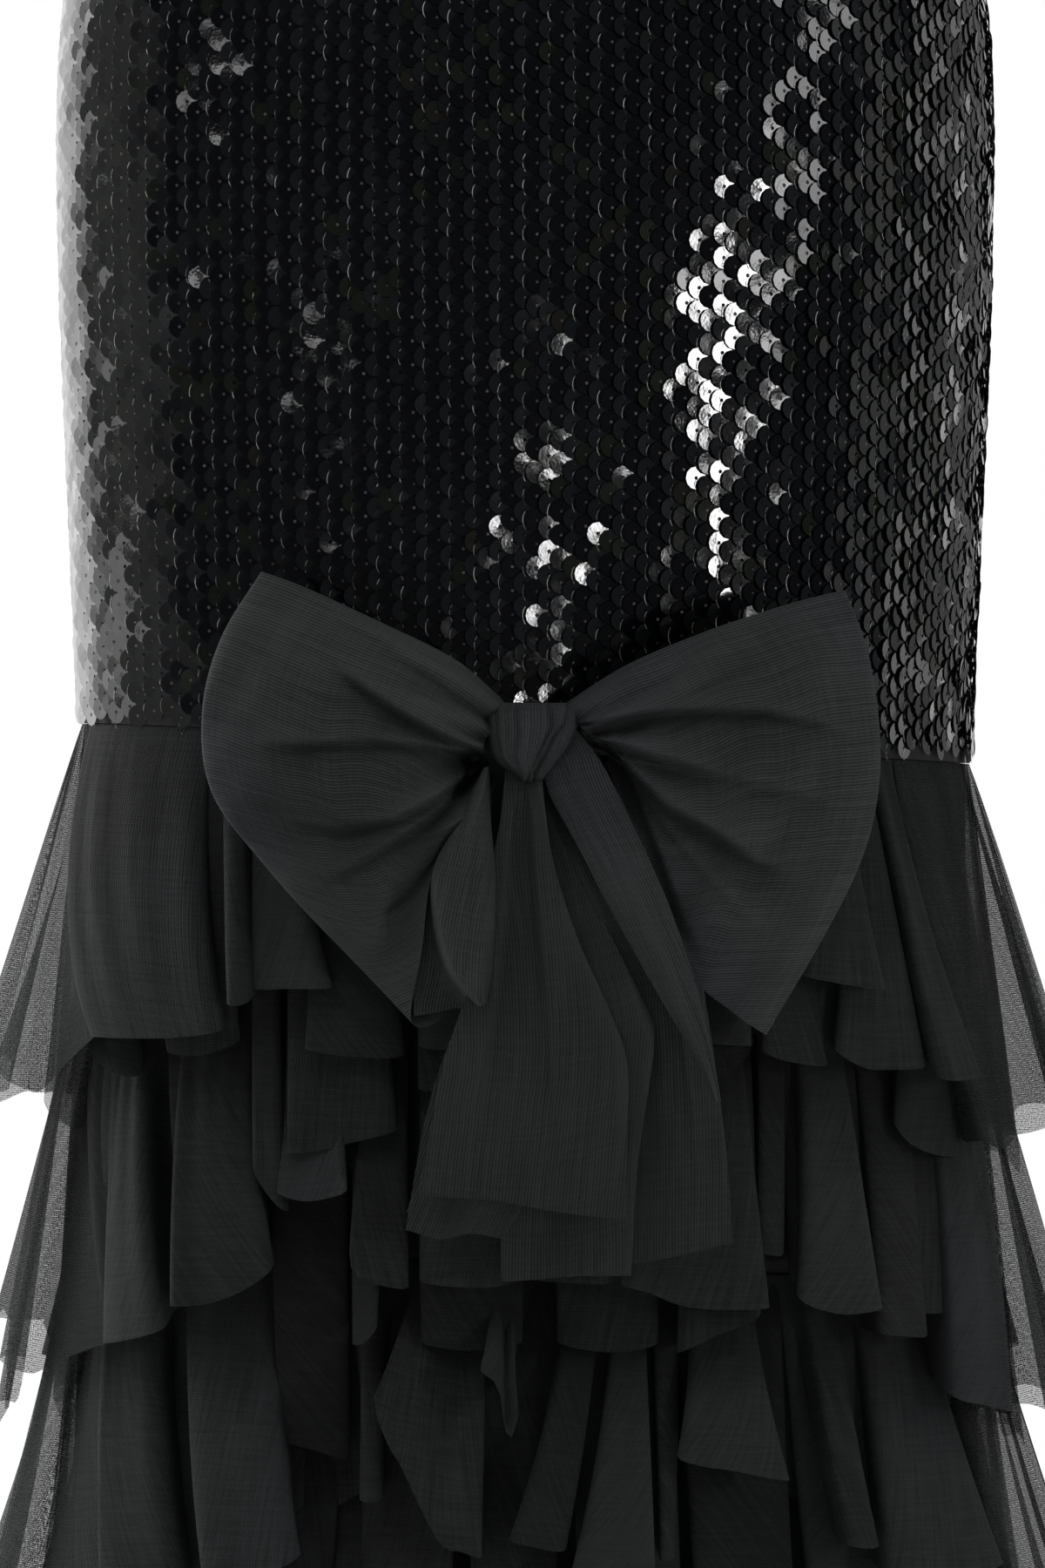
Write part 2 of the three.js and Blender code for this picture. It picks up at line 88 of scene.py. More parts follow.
def smoothCurve(stops, values, at):
    # a smooth line through the stops, which keeps its end values beyond them
    stops, values, at = (np.asarray(v, float) for v in (stops, values, at))
    last = len(stops) - 1
    i = np.clip(np.searchsorted(stops, at, side="left") - 1, 0, last - 1)
    before, after = np.maximum(i - 1, 0), np.minimum(i + 2, last)
    step = stops[i + 1] - stops[i]
    t = np.clip((at - stops[i]) / step, 0, 1)
    low, high = values[i], values[i + 1]
    slopeLow = (high - values[before]) / (stops[i + 1] - stops[before]) * step
    slopeHigh = (values[after] - low) / (stops[after] - stops[i]) * step
    return (
        (2 * t**3 - 3 * t**2 + 1) * low
        + (t**3 - 2 * t**2 + t) * slopeLow
        + (3 * t**2 - 2 * t**3) * high
        + (t**3 - t**2) * slopeHigh
    )


def ease(t):
    # from 0 to 1, slow at both ends
    t = np.clip(t, 0, 1)
    return t * t * (3 - 2 * t)


figure = {key: np.array([row[n] for row in figureRows], float) for n, key in enumerate(figureKeys)}


def figureSection(angle, z):
    a = np.radians(angle)
    side = smoothCurve(figure["z"], figure["side"], z)
    front = smoothCurve(figure["z"], figure["front"], z)
    back = smoothCurve(figure["z"], figure["back"], z)
    return a, side, np.where(np.cos(a) > 0, front, back)


def figurePoint(angle, z, out=0.0):
    # the point at one angle and height of the figure, moved out from it, in millimetres
    a, side, depth = figureSection(angle, z)
    full = 1 + squareness * np.sin(2 * a) ** 2
    x = side * np.sin(a) * full
    y = -depth * np.cos(a) * full
    nx, ny = np.sin(a) / side, -np.cos(a) / depth
    length = np.hypot(nx, ny)
    nx, ny = nx / length, ny / length
    fromCup = np.hypot((np.abs(x) - cup["apart"]) / cup["wide"], (z - cup["low"]) / cup["tall"])
    cupOut = np.where(y < 0, cup["depth"] * np.exp(-(fromCup**2)) * ease(-y / depth), 0)
    return np.stack([x + nx * (out + cupOut), y + ny * (out + cupOut), z + 0 * x], -1)


def turned(angle):
    # degrees round from the front, the same on either side
    return np.abs((np.asarray(angle, float) + 180) % 360 - 180)


def topHeight(angle):
    return smoothCurve(*zip(*topEdge), turned(angle))


def tilt(angle, z):
    # how far the tilted seam has lifted the cloth at this angle
    return gown["seamTilt"] * figurePoint(angle, z + 0 * np.asarray(angle, float))[..., 0]


def seamAt(angle):
    return gown["seamHeight"] + tilt(angle, gown["seamHeight"])


def panelSpans(kind):
    # a front and two back panels, between the side seams and the centre back
    left, right = gown["leftSeam"], gown["rightSeam"]
    spans = {"front": (left, right), "back_left": (right, 180), "back_right": (180, left + 360)}
    return {f"{kind}_{side}": span for side, span in spans.items()}


# nodes written as expressions
class Wire:
    def __init__(self, nodes, socket):
        self.nodes, self.socket = nodes, socket

    def maths(self, operation, *others):
        return self.nodes.node("ShaderNodeMath", {"operation": operation}, dict(enumerate((self, *others))))

    def waves(self, apart):
        return (self * (math.tau / apart)).maths("SINE")

    def __add__(self, other):
        return self.maths("ADD", other)

    __radd__ = __add__

    def __sub__(self, other):
        return self.maths("SUBTRACT", other)

    def __rsub__(self, other):
        return (self * -1) + other

    def __mul__(self, other):
        return self.maths("MULTIPLY", other)

    __rmul__ = __mul__

    def __truediv__(self, other):
        return self.maths("DIVIDE", other)

    def __pow__(self, other):
        return self.maths("POWER", other)


class Nodes:
    # the nodes of a tree that has just been made, or of a new material or world
    def __init__(self, owner):
        self.owner = owner
        if isinstance(owner, bpy.types.NodeTree):
            self.tree = owner
        else:
            owner.use_nodes = True
            self.tree = owner.node_tree
            self.tree.nodes.clear()

    def add(self, kind, settings=None, sockets=None):
        made = self.tree.nodes.new(kind)
        for key, value in (settings or {}).items():
            setattr(made, key, value)
        for key, value in (sockets or {}).items():
            if isinstance(value, Wire):
                self.tree.links.new(value.socket, made.inputs[key])
            else:
                made.inputs[key].default_value = value
        return made

    def node(self, kind, settings=None, sockets=None, output=0):
        made = self.add(kind, settings, sockets)
        return Wire(self, made.outputs[output]) if made.outputs else None

    def parts(self, vector):
        return [Wire(self, socket) for socket in self.add("ShaderNodeSeparateXYZ", {}, {0: vector}).outputs]

    def smoothstep(self, value, low, high, most=1.0):
        sockets = {"Value": value, "From Min": low, "From Max": high, "To Max": most}
        return self.node("ShaderNodeMapRange", {"interpolation_type": "SMOOTHSTEP"}, sockets)

    def objectPlace(self):
        return self.node("ShaderNodeTexCoord", output="Object")

    def ownNumber(self):
        # a number from 0 to 1 for each separate part of the mesh
        return self.node("ShaderNodeNewGeometry", output="Random Per Island")

    def look(self, name):
        # a number that the mesh keeps for each of its points
        return self.node("ShaderNodeAttribute", {"attribute_name": name}, output="Fac")

    def noise(self, where, scale, detail=2.0, rough=0.5):
        sockets = {"Vector": where, "Scale": scale, "Detail": detail, "Roughness": rough}
        return self.node("ShaderNodeTexNoise", {}, sockets)

    def stretchedNoise(self, uv, across, down):
        scaled = self.node("ShaderNodeMapping", {}, {"Vector": uv, "Scale": (across, down, 1)})
        return self.noise(scaled, 1.0, 1.0)

    def blend(self, amount, colourA, colourB):
        made = self.add("ShaderNodeMix", {"data_type": "RGBA"}, {0: amount, 6: colourA, 7: colourB})
        return Wire(self, made.outputs[2])

    def bump(self, strength, distance, height):
        return self.node("ShaderNodeBump", {}, {"Strength": strength, "Distance": distance, "Height": height})

    def finish(self, sockets):
        bsdf = self.node("ShaderNodeBsdfPrincipled", {}, sockets)
        self.node("ShaderNodeOutputMaterial", {}, {"Surface": bsdf})
        return self.owner


def newShader(name):
    return Nodes(bpy.data.materials.new(name))


def grey(value):
    return (value, value, value, 1)


def inky(value):
    # black cloth with a faint cold cast
    return (value * 0.93, value * 1.04, value * 1.01, 1)


def dimmed(colour, keep):
    # the same colour at a share of its brightness
    return (*(part * keep for part in colour[:3]), 1)


def clothUv(s):
    # the cloth's own millimetres: across, down
    uv = s.node("ShaderNodeUVMap", {"uv_map": "cloth"})
    across, down, _ = s.parts(uv)
    return uv, across, down


# meshes from grids of points
def clothMesh(name, grids, material):
    # Each grid holds points in mm as rows x columns x 3, their places on the cloth in mm as rows x columns
    # x 2, and whether its last column joins the first.
    points, faces, uvs = [], [], []
    start = 0
    for grid, place, ring in grids:
        rows, columns = grid.shape[:2]
        number = np.arange(rows * columns).reshape(rows, columns) + start
        if ring:
            number = np.concatenate([number, number[:, :1]], 1)
        quads = np.stack([number[:-1, :-1], number[1:, :-1], number[1:, 1:], number[:-1, 1:]], -1)
        place = np.concatenate([place, place[:, -1:] * 2 - place[:, -2:-1]], 1) if ring else place
        corners = np.stack([place[:-1, :-1], place[1:, :-1], place[1:, 1:], place[:-1, 1:]], 2)
        faces.append(quads.reshape(-1, 4))
        uvs.append(corners.reshape(-1, 2))
        points.append(grid.reshape(-1, 3) * mm)
        start += rows * columns
    mesh = bpy.data.meshes.new(name)
    mesh.from_pydata(np.concatenate(points).tolist(), [], np.concatenate(faces).tolist())
    layer = mesh.uv_layers.new(name="cloth")
    layer.data.foreach_set("uv", np.concatenate(uvs).ravel())
    mesh.polygons.foreach_set("use_smooth", [True] * len(mesh.polygons))
    mesh.materials.append(material)
    mesh.update()
    piece = bpy.data.objects.new(name, mesh)
    bpy.context.scene.collection.objects.link(piece)
    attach(piece, "gown")
    return piece


def applyModifiers(piece):
    # the piece keeps its name and turns into a plain mesh
    graph = bpy.context.evaluated_depsgraph_get()
    done = bpy.data.meshes.new_from_object(piece.evaluated_get(graph))
    piece.modifiers.clear()
    old = piece.data
    piece.data = done
    name = old.name
    bpy.data.meshes.remove(old)
    done.name = name
    return piece


def keepLook(piece, name, values):
    # a number for each point of the mesh, which the materials read by its name
    piece.data.attributes.new(name, "FLOAT", "POINT").data.foreach_set("value", values.ravel())


def thicken(piece, thick):
    # the cloth grows inwards from its face
    solid = piece.modifiers.new("thickness", "SOLIDIFY")
    solid.thickness, solid.offset = thick * mm, -1.0
    solid.use_even_offset = False
    return applyModifiers(piece)


def lengthsAlong(points):
    steps = np.linalg.norm(np.diff(points, axis=0), axis=-1)
    return np.concatenate([[0], np.cumsum(steps)])


# camera, floor and studio
def makeStudio():
    view = {"distance": 2.75, "height": -0.588, "aside": -0.0013, "tall": 0.576, "farthest": 60}
    camera = bpy.data.objects.new("camera", bpy.data.cameras.new("camera"))
    camera.location = (view["aside"], -view["distance"], view["height"])
    camera.rotation_euler = (math.pi / 2, 0, 0)
    camera.data.lens = camera.data.sensor_width * view["distance"] / view["tall"]
    camera.data.clip_end = view["farthest"]
    bpy.context.scene.collection.objects.link(camera)
    bpy.context.scene.camera = camera

    ground = {"radius": 3.4, "below": 0.02, "sides": 96, "dark": 0.78, "light": 0.84, "mottle": 3.0}
    bpy.ops.mesh.primitive_circle_add(vertices=ground["sides"], radius=ground["radius"], fill_type="NGON")
    floor = bpy.context.object
    floor.name = "studioFloor"
    floor.location.z = cadBox[0].z - ground["below"]
    paint = newShader("floorPaint")
    mottle = paint.noise(paint.objectPlace(), ground["mottle"])
    shade = paint.blend(mottle, grey(ground["dark"]), grey(ground["light"]))
    floor.data.materials.append(paint.finish({"Base Color": shade, "Roughness": 0.6}))

    # bright behind the gown, greyer at its sides, dim ahead of it, and lit from overhead
    room = {"dim": 0.045, "side": 0.29, "behind": 3.3, "overhead": 0.42}
    sideFrom = {"leftward": -0.50, "upward": -0.6, "from": -0.42, "to": -0.05}
    behindFrom = {"leftward": -0.60, "from": 0.60, "to": 0.92}
    rearDimmed = {"from": 0.72, "to": 0.94, "by": 0.78}  # straight behind, so that the back glints too
    overheadFrom = {"from": 0.35, "to": 0.8}
    bpy.context.scene.view_settings.view_transform = "Standard"
    bpy.context.scene.world = bpy.data.worlds.new("studio")
    world = Nodes(bpy.context.scene.world)

    def fade(along, span, most):
        return world.smoothstep(along, span["from"], span["to"], most)

    x, y, z = world.parts(world.node("ShaderNodeTexCoord", output="Generated"))
    slanted = x * sideFrom["leftward"] + (z * sideFrom["upward"] + y)
    rear = x * behindFrom["leftward"] + y
    behind = fade(rear, behindFrom, room["behind"]) * (1 - fade(y, rearDimmed, rearDimmed["by"]))
    walls = fade(slanted, sideFrom, room["side"]) + behind
    lit = walls.maths("MAXIMUM", fade(z, overheadFrom, room["overhead"])) + room["dim"]
    # plain white where the camera sees it
    seen = world.node("ShaderNodeLightPath", output="Is Camera Ray")
    shown = lit * (1 - seen) + seen
    sky = world.node("ShaderNodeBackground", {}, {"Color": grey(1.0), "Strength": shown})
    world.node("ShaderNodeOutputWorld", {}, {"Surface": sky})

    # name, degrees round to the right, height, distance, width, length, lean, watts
    lamps = [
        ("stripRight", 51.3, -0.49, 2.6, 0.15, 0.54, 0, 6.2),
        ("stripTurn", 59.5, -0.20, 2.6, 0.12, 0.50, -62, 1.7),
        ("stripTop", 70.5, 0.16, 2.6, 0.24, 0.56, -8, 1.7),
        ("stripNear", 25.9, -0.61, 2.6, 0.06, 0.16, 0, 0.8),
        ("flankRight", 91, -0.30, 2.6, 0.6, 1.6, 0, 1.15),
        ("rimRight", 111, -0.30, 2.6, 0.24, 1.3, -18, 0.9),
        ("rimBehind", 126, -0.30, 2.6, 0.10, 1.3, -12, 0.7),
        ("stripBack", -158, -0.35, 2.6, 0.13, 0.7, -14, 3.4),
        ("rimLeft", -82, -0.86, 2.6, 0.9, 0.62, 0, 2.9),
        ("stripHigh", -30, 0.17, 2.6, 0.05, 0.66, -72, 0.45),
        ("stripLow", -8, -0.365, 2.6, 0.02, 0.26, -83, 0.09),
        ("softLeft", -50, 2.1, 2.6, 1.2, 1.2, 0, 7.0),
        ("softTop", -12, 2.4, 1.5, 0.9, 0.9, 0, 7.0),
    ]
    target = cadBox[0].lerp(cadBox[1], 0.5)
    for name, aside, height, distance, wide, tall, lean, watts in lamps:
        lamp = bpy.data.objects.new(name, bpy.data.lights.new(name, "AREA"))
        lamp.data.shape, lamp.data.size, lamp.data.size_y = "RECTANGLE", wide, tall
        lamp.data.energy = watts
        a = math.radians(aside)
        lamp.location = (distance * math.sin(a), -distance * math.cos(a), height)
        facing = target - lamp.location
        if height <= 1:
            facing.z = 0  # the strips stand upright
        lamp.rotation_mode = "QUATERNION"
        turn = facing.to_track_quat("-Z", "Y")
        lamp.rotation_quaternion = turn @ Quaternion((0, 0, 1), math.radians(lean))
        lamp.visible_camera = False
        bpy.context.scene.collection.objects.link(lamp)


makeStudio()
print("studio ready")

# the sheath, in mm
sheath = {
    "rows": 66,
    "everyDegrees": 2.6,
    "thick": 1.8,
    "lowered": 0.5,  # the cloth's face lies this far below the sequins' seat
    "cutTall": 0.64,  # the length of each panel's cut, in metres
}
sequins = {
    "radius": 4.1,
    "hole": 0.7,
    "cupped": 0.025,  # how far the middle lies below the rim
    "acrossPitch": 4.4,
    "downPitch": 8.4,
    "leans": 12.0,  # each one rests on its left-hand neighbour's face, in degrees
    "leansAside": 4.0,  # and less where the columns turn away to the right
    "asideFrom": (52, 16),  # where they begin to turn away, and over how many degrees
    "asideTo": (140, 30),
    "uneven": 0.10,
    "rolling": 0.020,  # how far the cloth below turns whole patches of them
    "looserAside": 3.0,  # and so much more on the right-hand side
    "above": 0.75,  # their seat, above the figure
    "edgeRoom": 3.0,
    "spacedAt": -430,  # the height at which the columns lie one pitch apart
    "sides": 12,
    "knot": 0.62,  # the thread that shows in the hole of every other column
    "knotSides": 6,
    "knotTall": 0.3,
    "knotSunk": 0.25,
    "strandLong": 6.3,  # the thread that shows on the columns between
    "strandWide": 0.21,
    "strandBow": 1.0,
    "strandAbove": 0.2,
    "seed": 11,
}


def backingCloth(name, shade, light):
    s = newShader(name)
    uv, across, down = clothUv(s)
    weave = across.waves(1.1) * down.waves(1.1)
    colour = s.blend(s.noise(uv, 0.05), grey(shade), grey(light))
    return s.finish({"Base Color": colour, "Roughness": 0.8, "Normal": s.bump(0.3, 0.0003, weave)})


def sequinPlastic():
    # black foil with painted sheen: the lower columns and broad patches are painted lighter, standing in for
    # the room they reflect, and a few discs are olive or brown
    black, paintedSheenColour = (0.0022, 0.0026, 0.0040, 1), (0.0108, 0.0122, 0.0138, 1)
    olive, brown = (0.0100, 0.0128, 0.0086, 1), (0.0130, 0.0124, 0.0098, 1)
    s = newShader("sequinPlastic")
    own, place = s.ownNumber(), s.objectPlace()
    smear = s.noise(place, 900.0, 1.0)
    patch = s.noise(place, 22.0, 1.0)
    # painted sheen: the lower columns and noise patches get a lighter colour
    paintedSheenMask = s.smoothstep(s.look("lower") * 0.6 + patch * 0.8 + own * 0.25, 0.45, 1.35)
    colour = s.blend(paintedSheenMask, black, paintedSheenColour)
    colour = s.blend(s.smoothstep(own, 0.92, 0.95), colour, olive)
    colour = s.blend(s.smoothstep(own, 0.992, 0.995), colour, brown)
    rough = own * 0.03 + smear * 0.04 + 0.03
    bump = s.bump(0.03, 0.0003, smear)
    return s.finish({"Base Color": colour, "Roughness": rough, "Normal": bump, "Specular IOR Level": 0.6})


def clearThread():
    # clear thread with painted glints: a noise mask paints it light grey in some places, and dark and half
    # clear in others
    s = newShader("clearThread")
    paintedGlintMask = s.smoothstep(s.noise(s.objectPlace(), 330.0), 0.40, 0.60)
    bright = s.blend(s.ownNumber() ** 2.0, grey(0.22), grey(0.85))
    colour = s.blend(paintedGlintMask, grey(0.05), bright)
    return s.finish({"Base Color": colour, "Roughness": 0.35, "Alpha": paintedGlintMask * 0.75 + 0.25})


def threadKnot():
    # the thread's knot, sunk in the sequin's hole
    s = newShader("threadKnot")
    patch = s.smoothstep(s.noise(s.objectPlace(), 14.0, 2.0) * 0.7 + s.ownNumber() * 0.5, 0.35, 0.95)
    return s.finish({"Base Color": s.blend(patch, grey(0.02), grey(0.15)), "Roughness": 0.4})


def sheathCloth(name, span, material):
    columns = int((span[1] - span[0]) / sheath["everyDegrees"]) + 1
    angle = np.linspace(*span, columns)[None, :]
    level = np.linspace(0, 1, sheath["rows"])[:, None]
    z = topHeight(angle) * (1 - level) + seamAt(angle) * level
    angle = angle + 0 * z
    grid = figurePoint(angle, z, -sheath["lowered"])
    girth = lengthsAlong(figurePoint(angle[0], sequins["spacedAt"] + 0 * angle[0]))
    place = np.stack([girth[None, :] + 0 * z, -z], -1)
    return thicken(clothMesh(name + "_cloth", [(grid, place, False)], material), sheath["thick"])


def turnedAside(angle, span):
    # from 0 to 1 where the columns turn away to the right; the back panel on the other side has none of it
    (start, over), (stop, fading) = sequins["asideFrom"], sequins["asideTo"]
    if span[1] > 180:
        return 0.0
    return float(ease((angle - start) / over)) * float(1 - ease((angle - stop) / fading))


def sequinSpots(span):
    # one spot a sequin: columns down the cloth, every other one moved by half a step
    fine = np.linspace(*span, 400)
    girth = lengthsAlong(figurePoint(fine, sequins["spacedAt"] + 0 * fine))
    columns = int(girth[-1] / sequins["acrossPitch"])
    spare = (girth[-1] - columns * sequins["acrossPitch"]) / 2
    spots, facings, lower = [], [], []
    for n in range(columns + 1):
        angle = np.interp(spare + n * sequins["acrossPitch"], girth, fine)
        top = topHeight(angle) - sequins["edgeRoom"]
        low = seamAt(angle) + sequins["edgeRoom"]
        shift = sequins["downPitch"] / 2 * (n % 2)
        z = np.arange(top - shift, low, -sequins["downPitch"])
        a = angle + 0 * z
        spots.append(figurePoint(a, z, sequins["above"]))
        along = figurePoint(a + 0.5, z) - figurePoint(a - 0.5, z)
        down = figurePoint(a, z - 1) - figurePoint(a, z + 1)
        normal = np.cross(down, along)
        normal /= np.linalg.norm(normal, axis=-1, keepdims=True)
        along /= np.linalg.norm(along, axis=-1, keepdims=True)
        aside = turnedAside(angle, span)
        lean = math.radians(sequins["leans"] + (sequins["leansAside"] - sequins["leans"]) * aside)
        rolling = sequins["rolling"] * (1 + sequins["looserAside"] * aside)
        lean = lean + rolling * roll(sequins["acrossPitch"] * n, z)
        up = np.array([[0, 0, 1]]) * (rolling * 0.6 * roll(z + 70, sequins["acrossPitch"] * n))[:, None]
        facings.append(normal * np.cos(lean)[:, None] + along * np.sin(lean)[:, None] + up)
        lower.append(np.full(len(z), n % 2, bool))
    return np.concatenate(spots), np.concatenate(facings), np.concatenate(lower)


def roll(across, down):
    # slow swells, some 40 mm from one to the next, that never line up
    first = np.sin(across * 0.131 + 1.7 * np.sin(down * 0.047))
    first = first * np.sin(down * 0.113 + 0.6 * np.sin(across * 0.06))
    return first + 0.6 * np.sin(across * 0.29 + down * 0.17) * np.sin(down * 0.21 - across * 0.12)


def socketId(tree, name):
    return next(i.identifier for i in tree.interface.items_tree if i.name == name)


def sequinTree(disc, thread, knotted):
    tree = bpy.data.node_groups.new("sewnSequins", "GeometryNodeTree")
    face = tree.interface
    face.new_socket("Geometry", in_out="INPUT", socket_type="NodeSocketGeometry")
    for name in ("Radius", "Hole", "Cupped", "Uneven", "Knot", "Strand Length", "Strand Width", "Strand Bow"):
        face.new_socket(name, in_out="INPUT", socket_type="NodeSocketFloat")
    face.new_socket("Seed", in_out="INPUT", socket_type="NodeSocketInt")
    face.new_socket("Geometry", in_out="OUTPUT", socket_type="NodeSocketGeometry")
    g = Nodes(tree)
    inlet = g.add("NodeGroupInput")
    given = {socket.name: Wire(g, socket) for socket in inlet.outputs if socket.name}

    def shaped(kind, sockets, settings=None):
        return g.node("GeometryNode" + kind, settings, sockets)

    def cone(sides, top, bottom, depth):
        sizes = {"Vertices": sides, "Radius Top": top, "Radius Bottom": bottom, "Depth": depth}
        return shaped("MeshCone", sizes, {"fill_type": "NONE"})

    def smooth(shape):
        return shaped("SetShadeSmooth", {"Geometry": shape})

    def painted(shape, material):
        return shaped("SetMaterial", {"Geometry": shape, "Material": material})

    def joined(*parts):
        both = g.add("GeometryNodeJoinGeometry")
        for part in reversed(parts):
            tree.links.new(part.socket, both.inputs[0])
        return Wire(g, both.outputs[0])

    def vectors(operation, *values):
        return g.node("ShaderNodeVectorMath", {"operation": operation}, dict(enumerate(values)))

    dish = cone(sequins["sides"], given["Radius"], given["Hole"], given["Cupped"])
    dish = painted(smooth(shaped("FlipFaces", {"Mesh": dish})), disc)

    # a strand bowed to the left, from the hole down over the rim
    length, bow = given["Strand Length"], given["Strand Bow"]
    strip = {"Size X": given["Strand Width"], "Size Y": length, "Vertices X": 2, "Vertices Y": 5}
    share = g.parts(shaped("InputPosition", {}))[1] / length
    bowed = g.node("ShaderNodeCombineXYZ", {}, {0: share * share * (bow * 4.0)})
    place = {0: bow * -0.8, 1: length * -0.48, 2: sequins["strandAbove"] * mm}
    seat = g.node("ShaderNodeCombineXYZ", {}, place)
    strand = shaped("SetPosition", {"Geometry": shaped("MeshGrid", strip), "Offset": bowed})
    strand = painted(shaped("Transform", {"Geometry": strand, "Translation": seat}), thread)

    knot = smooth(cone(sequins["knotSides"], 0.0, given["Knot"], sequins["knotTall"] * mm))
    knot = shaped("Transform", {"Geometry": knot, "Translation": (0, 0, -sequins["knotSunk"] * mm)})
    knot = painted(knot, knotted)

    facing = shaped("InputNamedAttribute", {"Name": "facing"}, {"data_type": "FLOAT_VECTOR"})
    lower = shaped("InputNamedAttribute", {"Name": "lower"}, {"data_type": "BOOLEAN"})
    upper = g.node("FunctionNodeBooleanMath", {"operation": "NOT"}, {0: lower})
    spread = {"Min": (-1, -1, -1), "Max": (1, 1, 1), "Seed": given["Seed"]}
    wobble = g.node("FunctionNodeRandomValue", {"data_type": "FLOAT_VECTOR"}, spread)
    # most of them lie close to the cloth, and a few are well out of line
    rare = vectors("MULTIPLY", wobble, vectors("MULTIPLY", wobble, wobble))
    uneven = g.node("ShaderNodeCombineXYZ", {}, {n: given["Uneven"] for n in range(3)})
    push = vectors("MULTIPLY_ADD", rare, uneven, facing)
    turn = g.node("FunctionNodeAlignRotationToVector", {"axis": "Y"}, {"Vector": (0, 0, 1)})
    turn = g.node("FunctionNodeAlignRotationToVector", {"axis": "Z"}, {"Rotation": turn, "Vector": push})
    rows = []
    for which, shape in ((upper, joined(dish, knot)), (lower, joined(dish, strand))):
        sockets = {"Points": given["Geometry"], "Selection": which, "Instance": shape, "Rotation": turn}
        rows.append(shaped("InstanceOnPoints", sockets))
    g.add("NodeGroupOutput", {}, {0: shaped("RealizeInstances", {"Geometry": joined(*rows)})})
    return tree


def sewSequins(name, spots, facings, lower, tree):
    mesh = bpy.data.meshes.new(name)
    mesh.from_pydata((spots * mm).tolist(), [], [])
    facing = mesh.attributes.new("facing", "FLOAT_VECTOR", "POINT")
    facing.data.foreach_set("vector", facings.ravel())
    mesh.attributes.new("lower", "BOOLEAN", "POINT").data.foreach_set("value", lower)
    piece = bpy.data.objects.new(name, mesh)
    bpy.context.scene.collection.objects.link(piece)
    sewing = piece.modifiers.new("sequins", "NODES")
    sewing.node_group = tree
    inputs = {
        "Radius": "radius",
        "Hole": "hole",
        "Cupped": "cupped",
        "Knot": "knot",
        "Strand Length": "strandLong",
        "Strand Width": "strandWide",
        "Strand Bow": "strandBow",
    }
    for socket, size in inputs.items():
        sewing[socketId(tree, socket)] = sequins[size] * mm
    sewing[socketId(tree, "Uneven")] = sequins["uneven"]
    sewing[socketId(tree, "Seed")] = sequins["seed"]
    applyModifiers(piece)
    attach(piece, "gown")
    return piece


def makeSheath():
    backing = backingCloth("sheathBacking", 0.004, 0.008)
    tree = sequinTree(sequinPlastic(), clearThread(), threadKnot())
    for name, span in panelSpans("sheath").items():
        cloth = sheathCloth(name, span, backing)
        spots, facings, lower = sequinSpots(span)
        # the broad front is sewn in two halves, so that no piece has too many faces
        halves = np.array_split(np.arange(len(spots)), 2 if name == "sheath_front" else 1)
        for n, half in enumerate(halves):
            sewSequins(f"{name}_sequins_{n + 1}", spots[half], facings[half], lower[half], tree)
        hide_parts(name)
        around = np.linspace(*span, 60)
        girth = lengthsAlong(figurePoint(around, sequins["spacedAt"] + 0 * around))[-1]


makeSheath()

# the tulle skirt, in mm
skirt = {
    "tiers": 7,
    "pitch": 100,
    "firstDrop": 113,
    "overlap": 28,
    "flare": 0.95,
    "sideDroop": 17,
    "columns": 900,
    "closeTiers": 4,  # the tiers near the bow have all the columns
    "plainColumns": 600,
    "rows": 15,
    "rowsCloser": 1.15,  # how much closer the rows lie near the sewn edge
    # the two layers of each tier: how dark the painted shade in their hollows is, how much they hide, the
    # openness of their mesh, how far out their valleys, sewn edges and made panels lie, and how many panels
    # a tier made by rule has
    "outer": {
        "hollowShadePainted": 0.74,
        "opacity": 0.66,
        "openness": 0.7,
        "valley": 7,
        "sewnAt": 1.3,
        "madeAt": 36,
        "panels": 21,
    },
    "under": {
        "hollowShadePainted": 0.74,
        "opacity": 0.54,
        "openness": 0.7,
        "valley": 3,
        "sewnAt": 0.6,
        "madeAt": 21,
        "panels": 19,
    },
    "sheerTiers": 5,  # those below lie closer, layer on layer
    "hiddenPanels": 10,
    "lowerOut": 0.8,  # how much further out the panels of each next tier are
    "clearFrom": 0.81,  # the sine of the angle from which a side's layers part
    "partedBy": 11,  # how far the under layer swings in there
    "turnedUnder": 3.2,  # how far a panel's edge turns in behind it, in degrees
    "facing": 7,  # how much nearer one side of a panel may be than the other
    "bulge": 2.5,  # how far the middle of a panel stands out
    "bell": 1.45,  # how late a panel flares on its way down
    "bias": 0.9,  # how far the net of a panel is pulled aslant
    "sewnRadius": 150,  # about how far the sewn edges and the hems lie from the middle
    "hemRadius": 185,
    "finePleat": 7.5,  # the gathers along the sewn edge, from one to the next
    "fineDeep": 0.7,
    "softPleat": 24,
    "softDeep": 0.55,
    "turnings": 1.1,  # what the smallest gathers, creases and turnings add to a cut's width
}
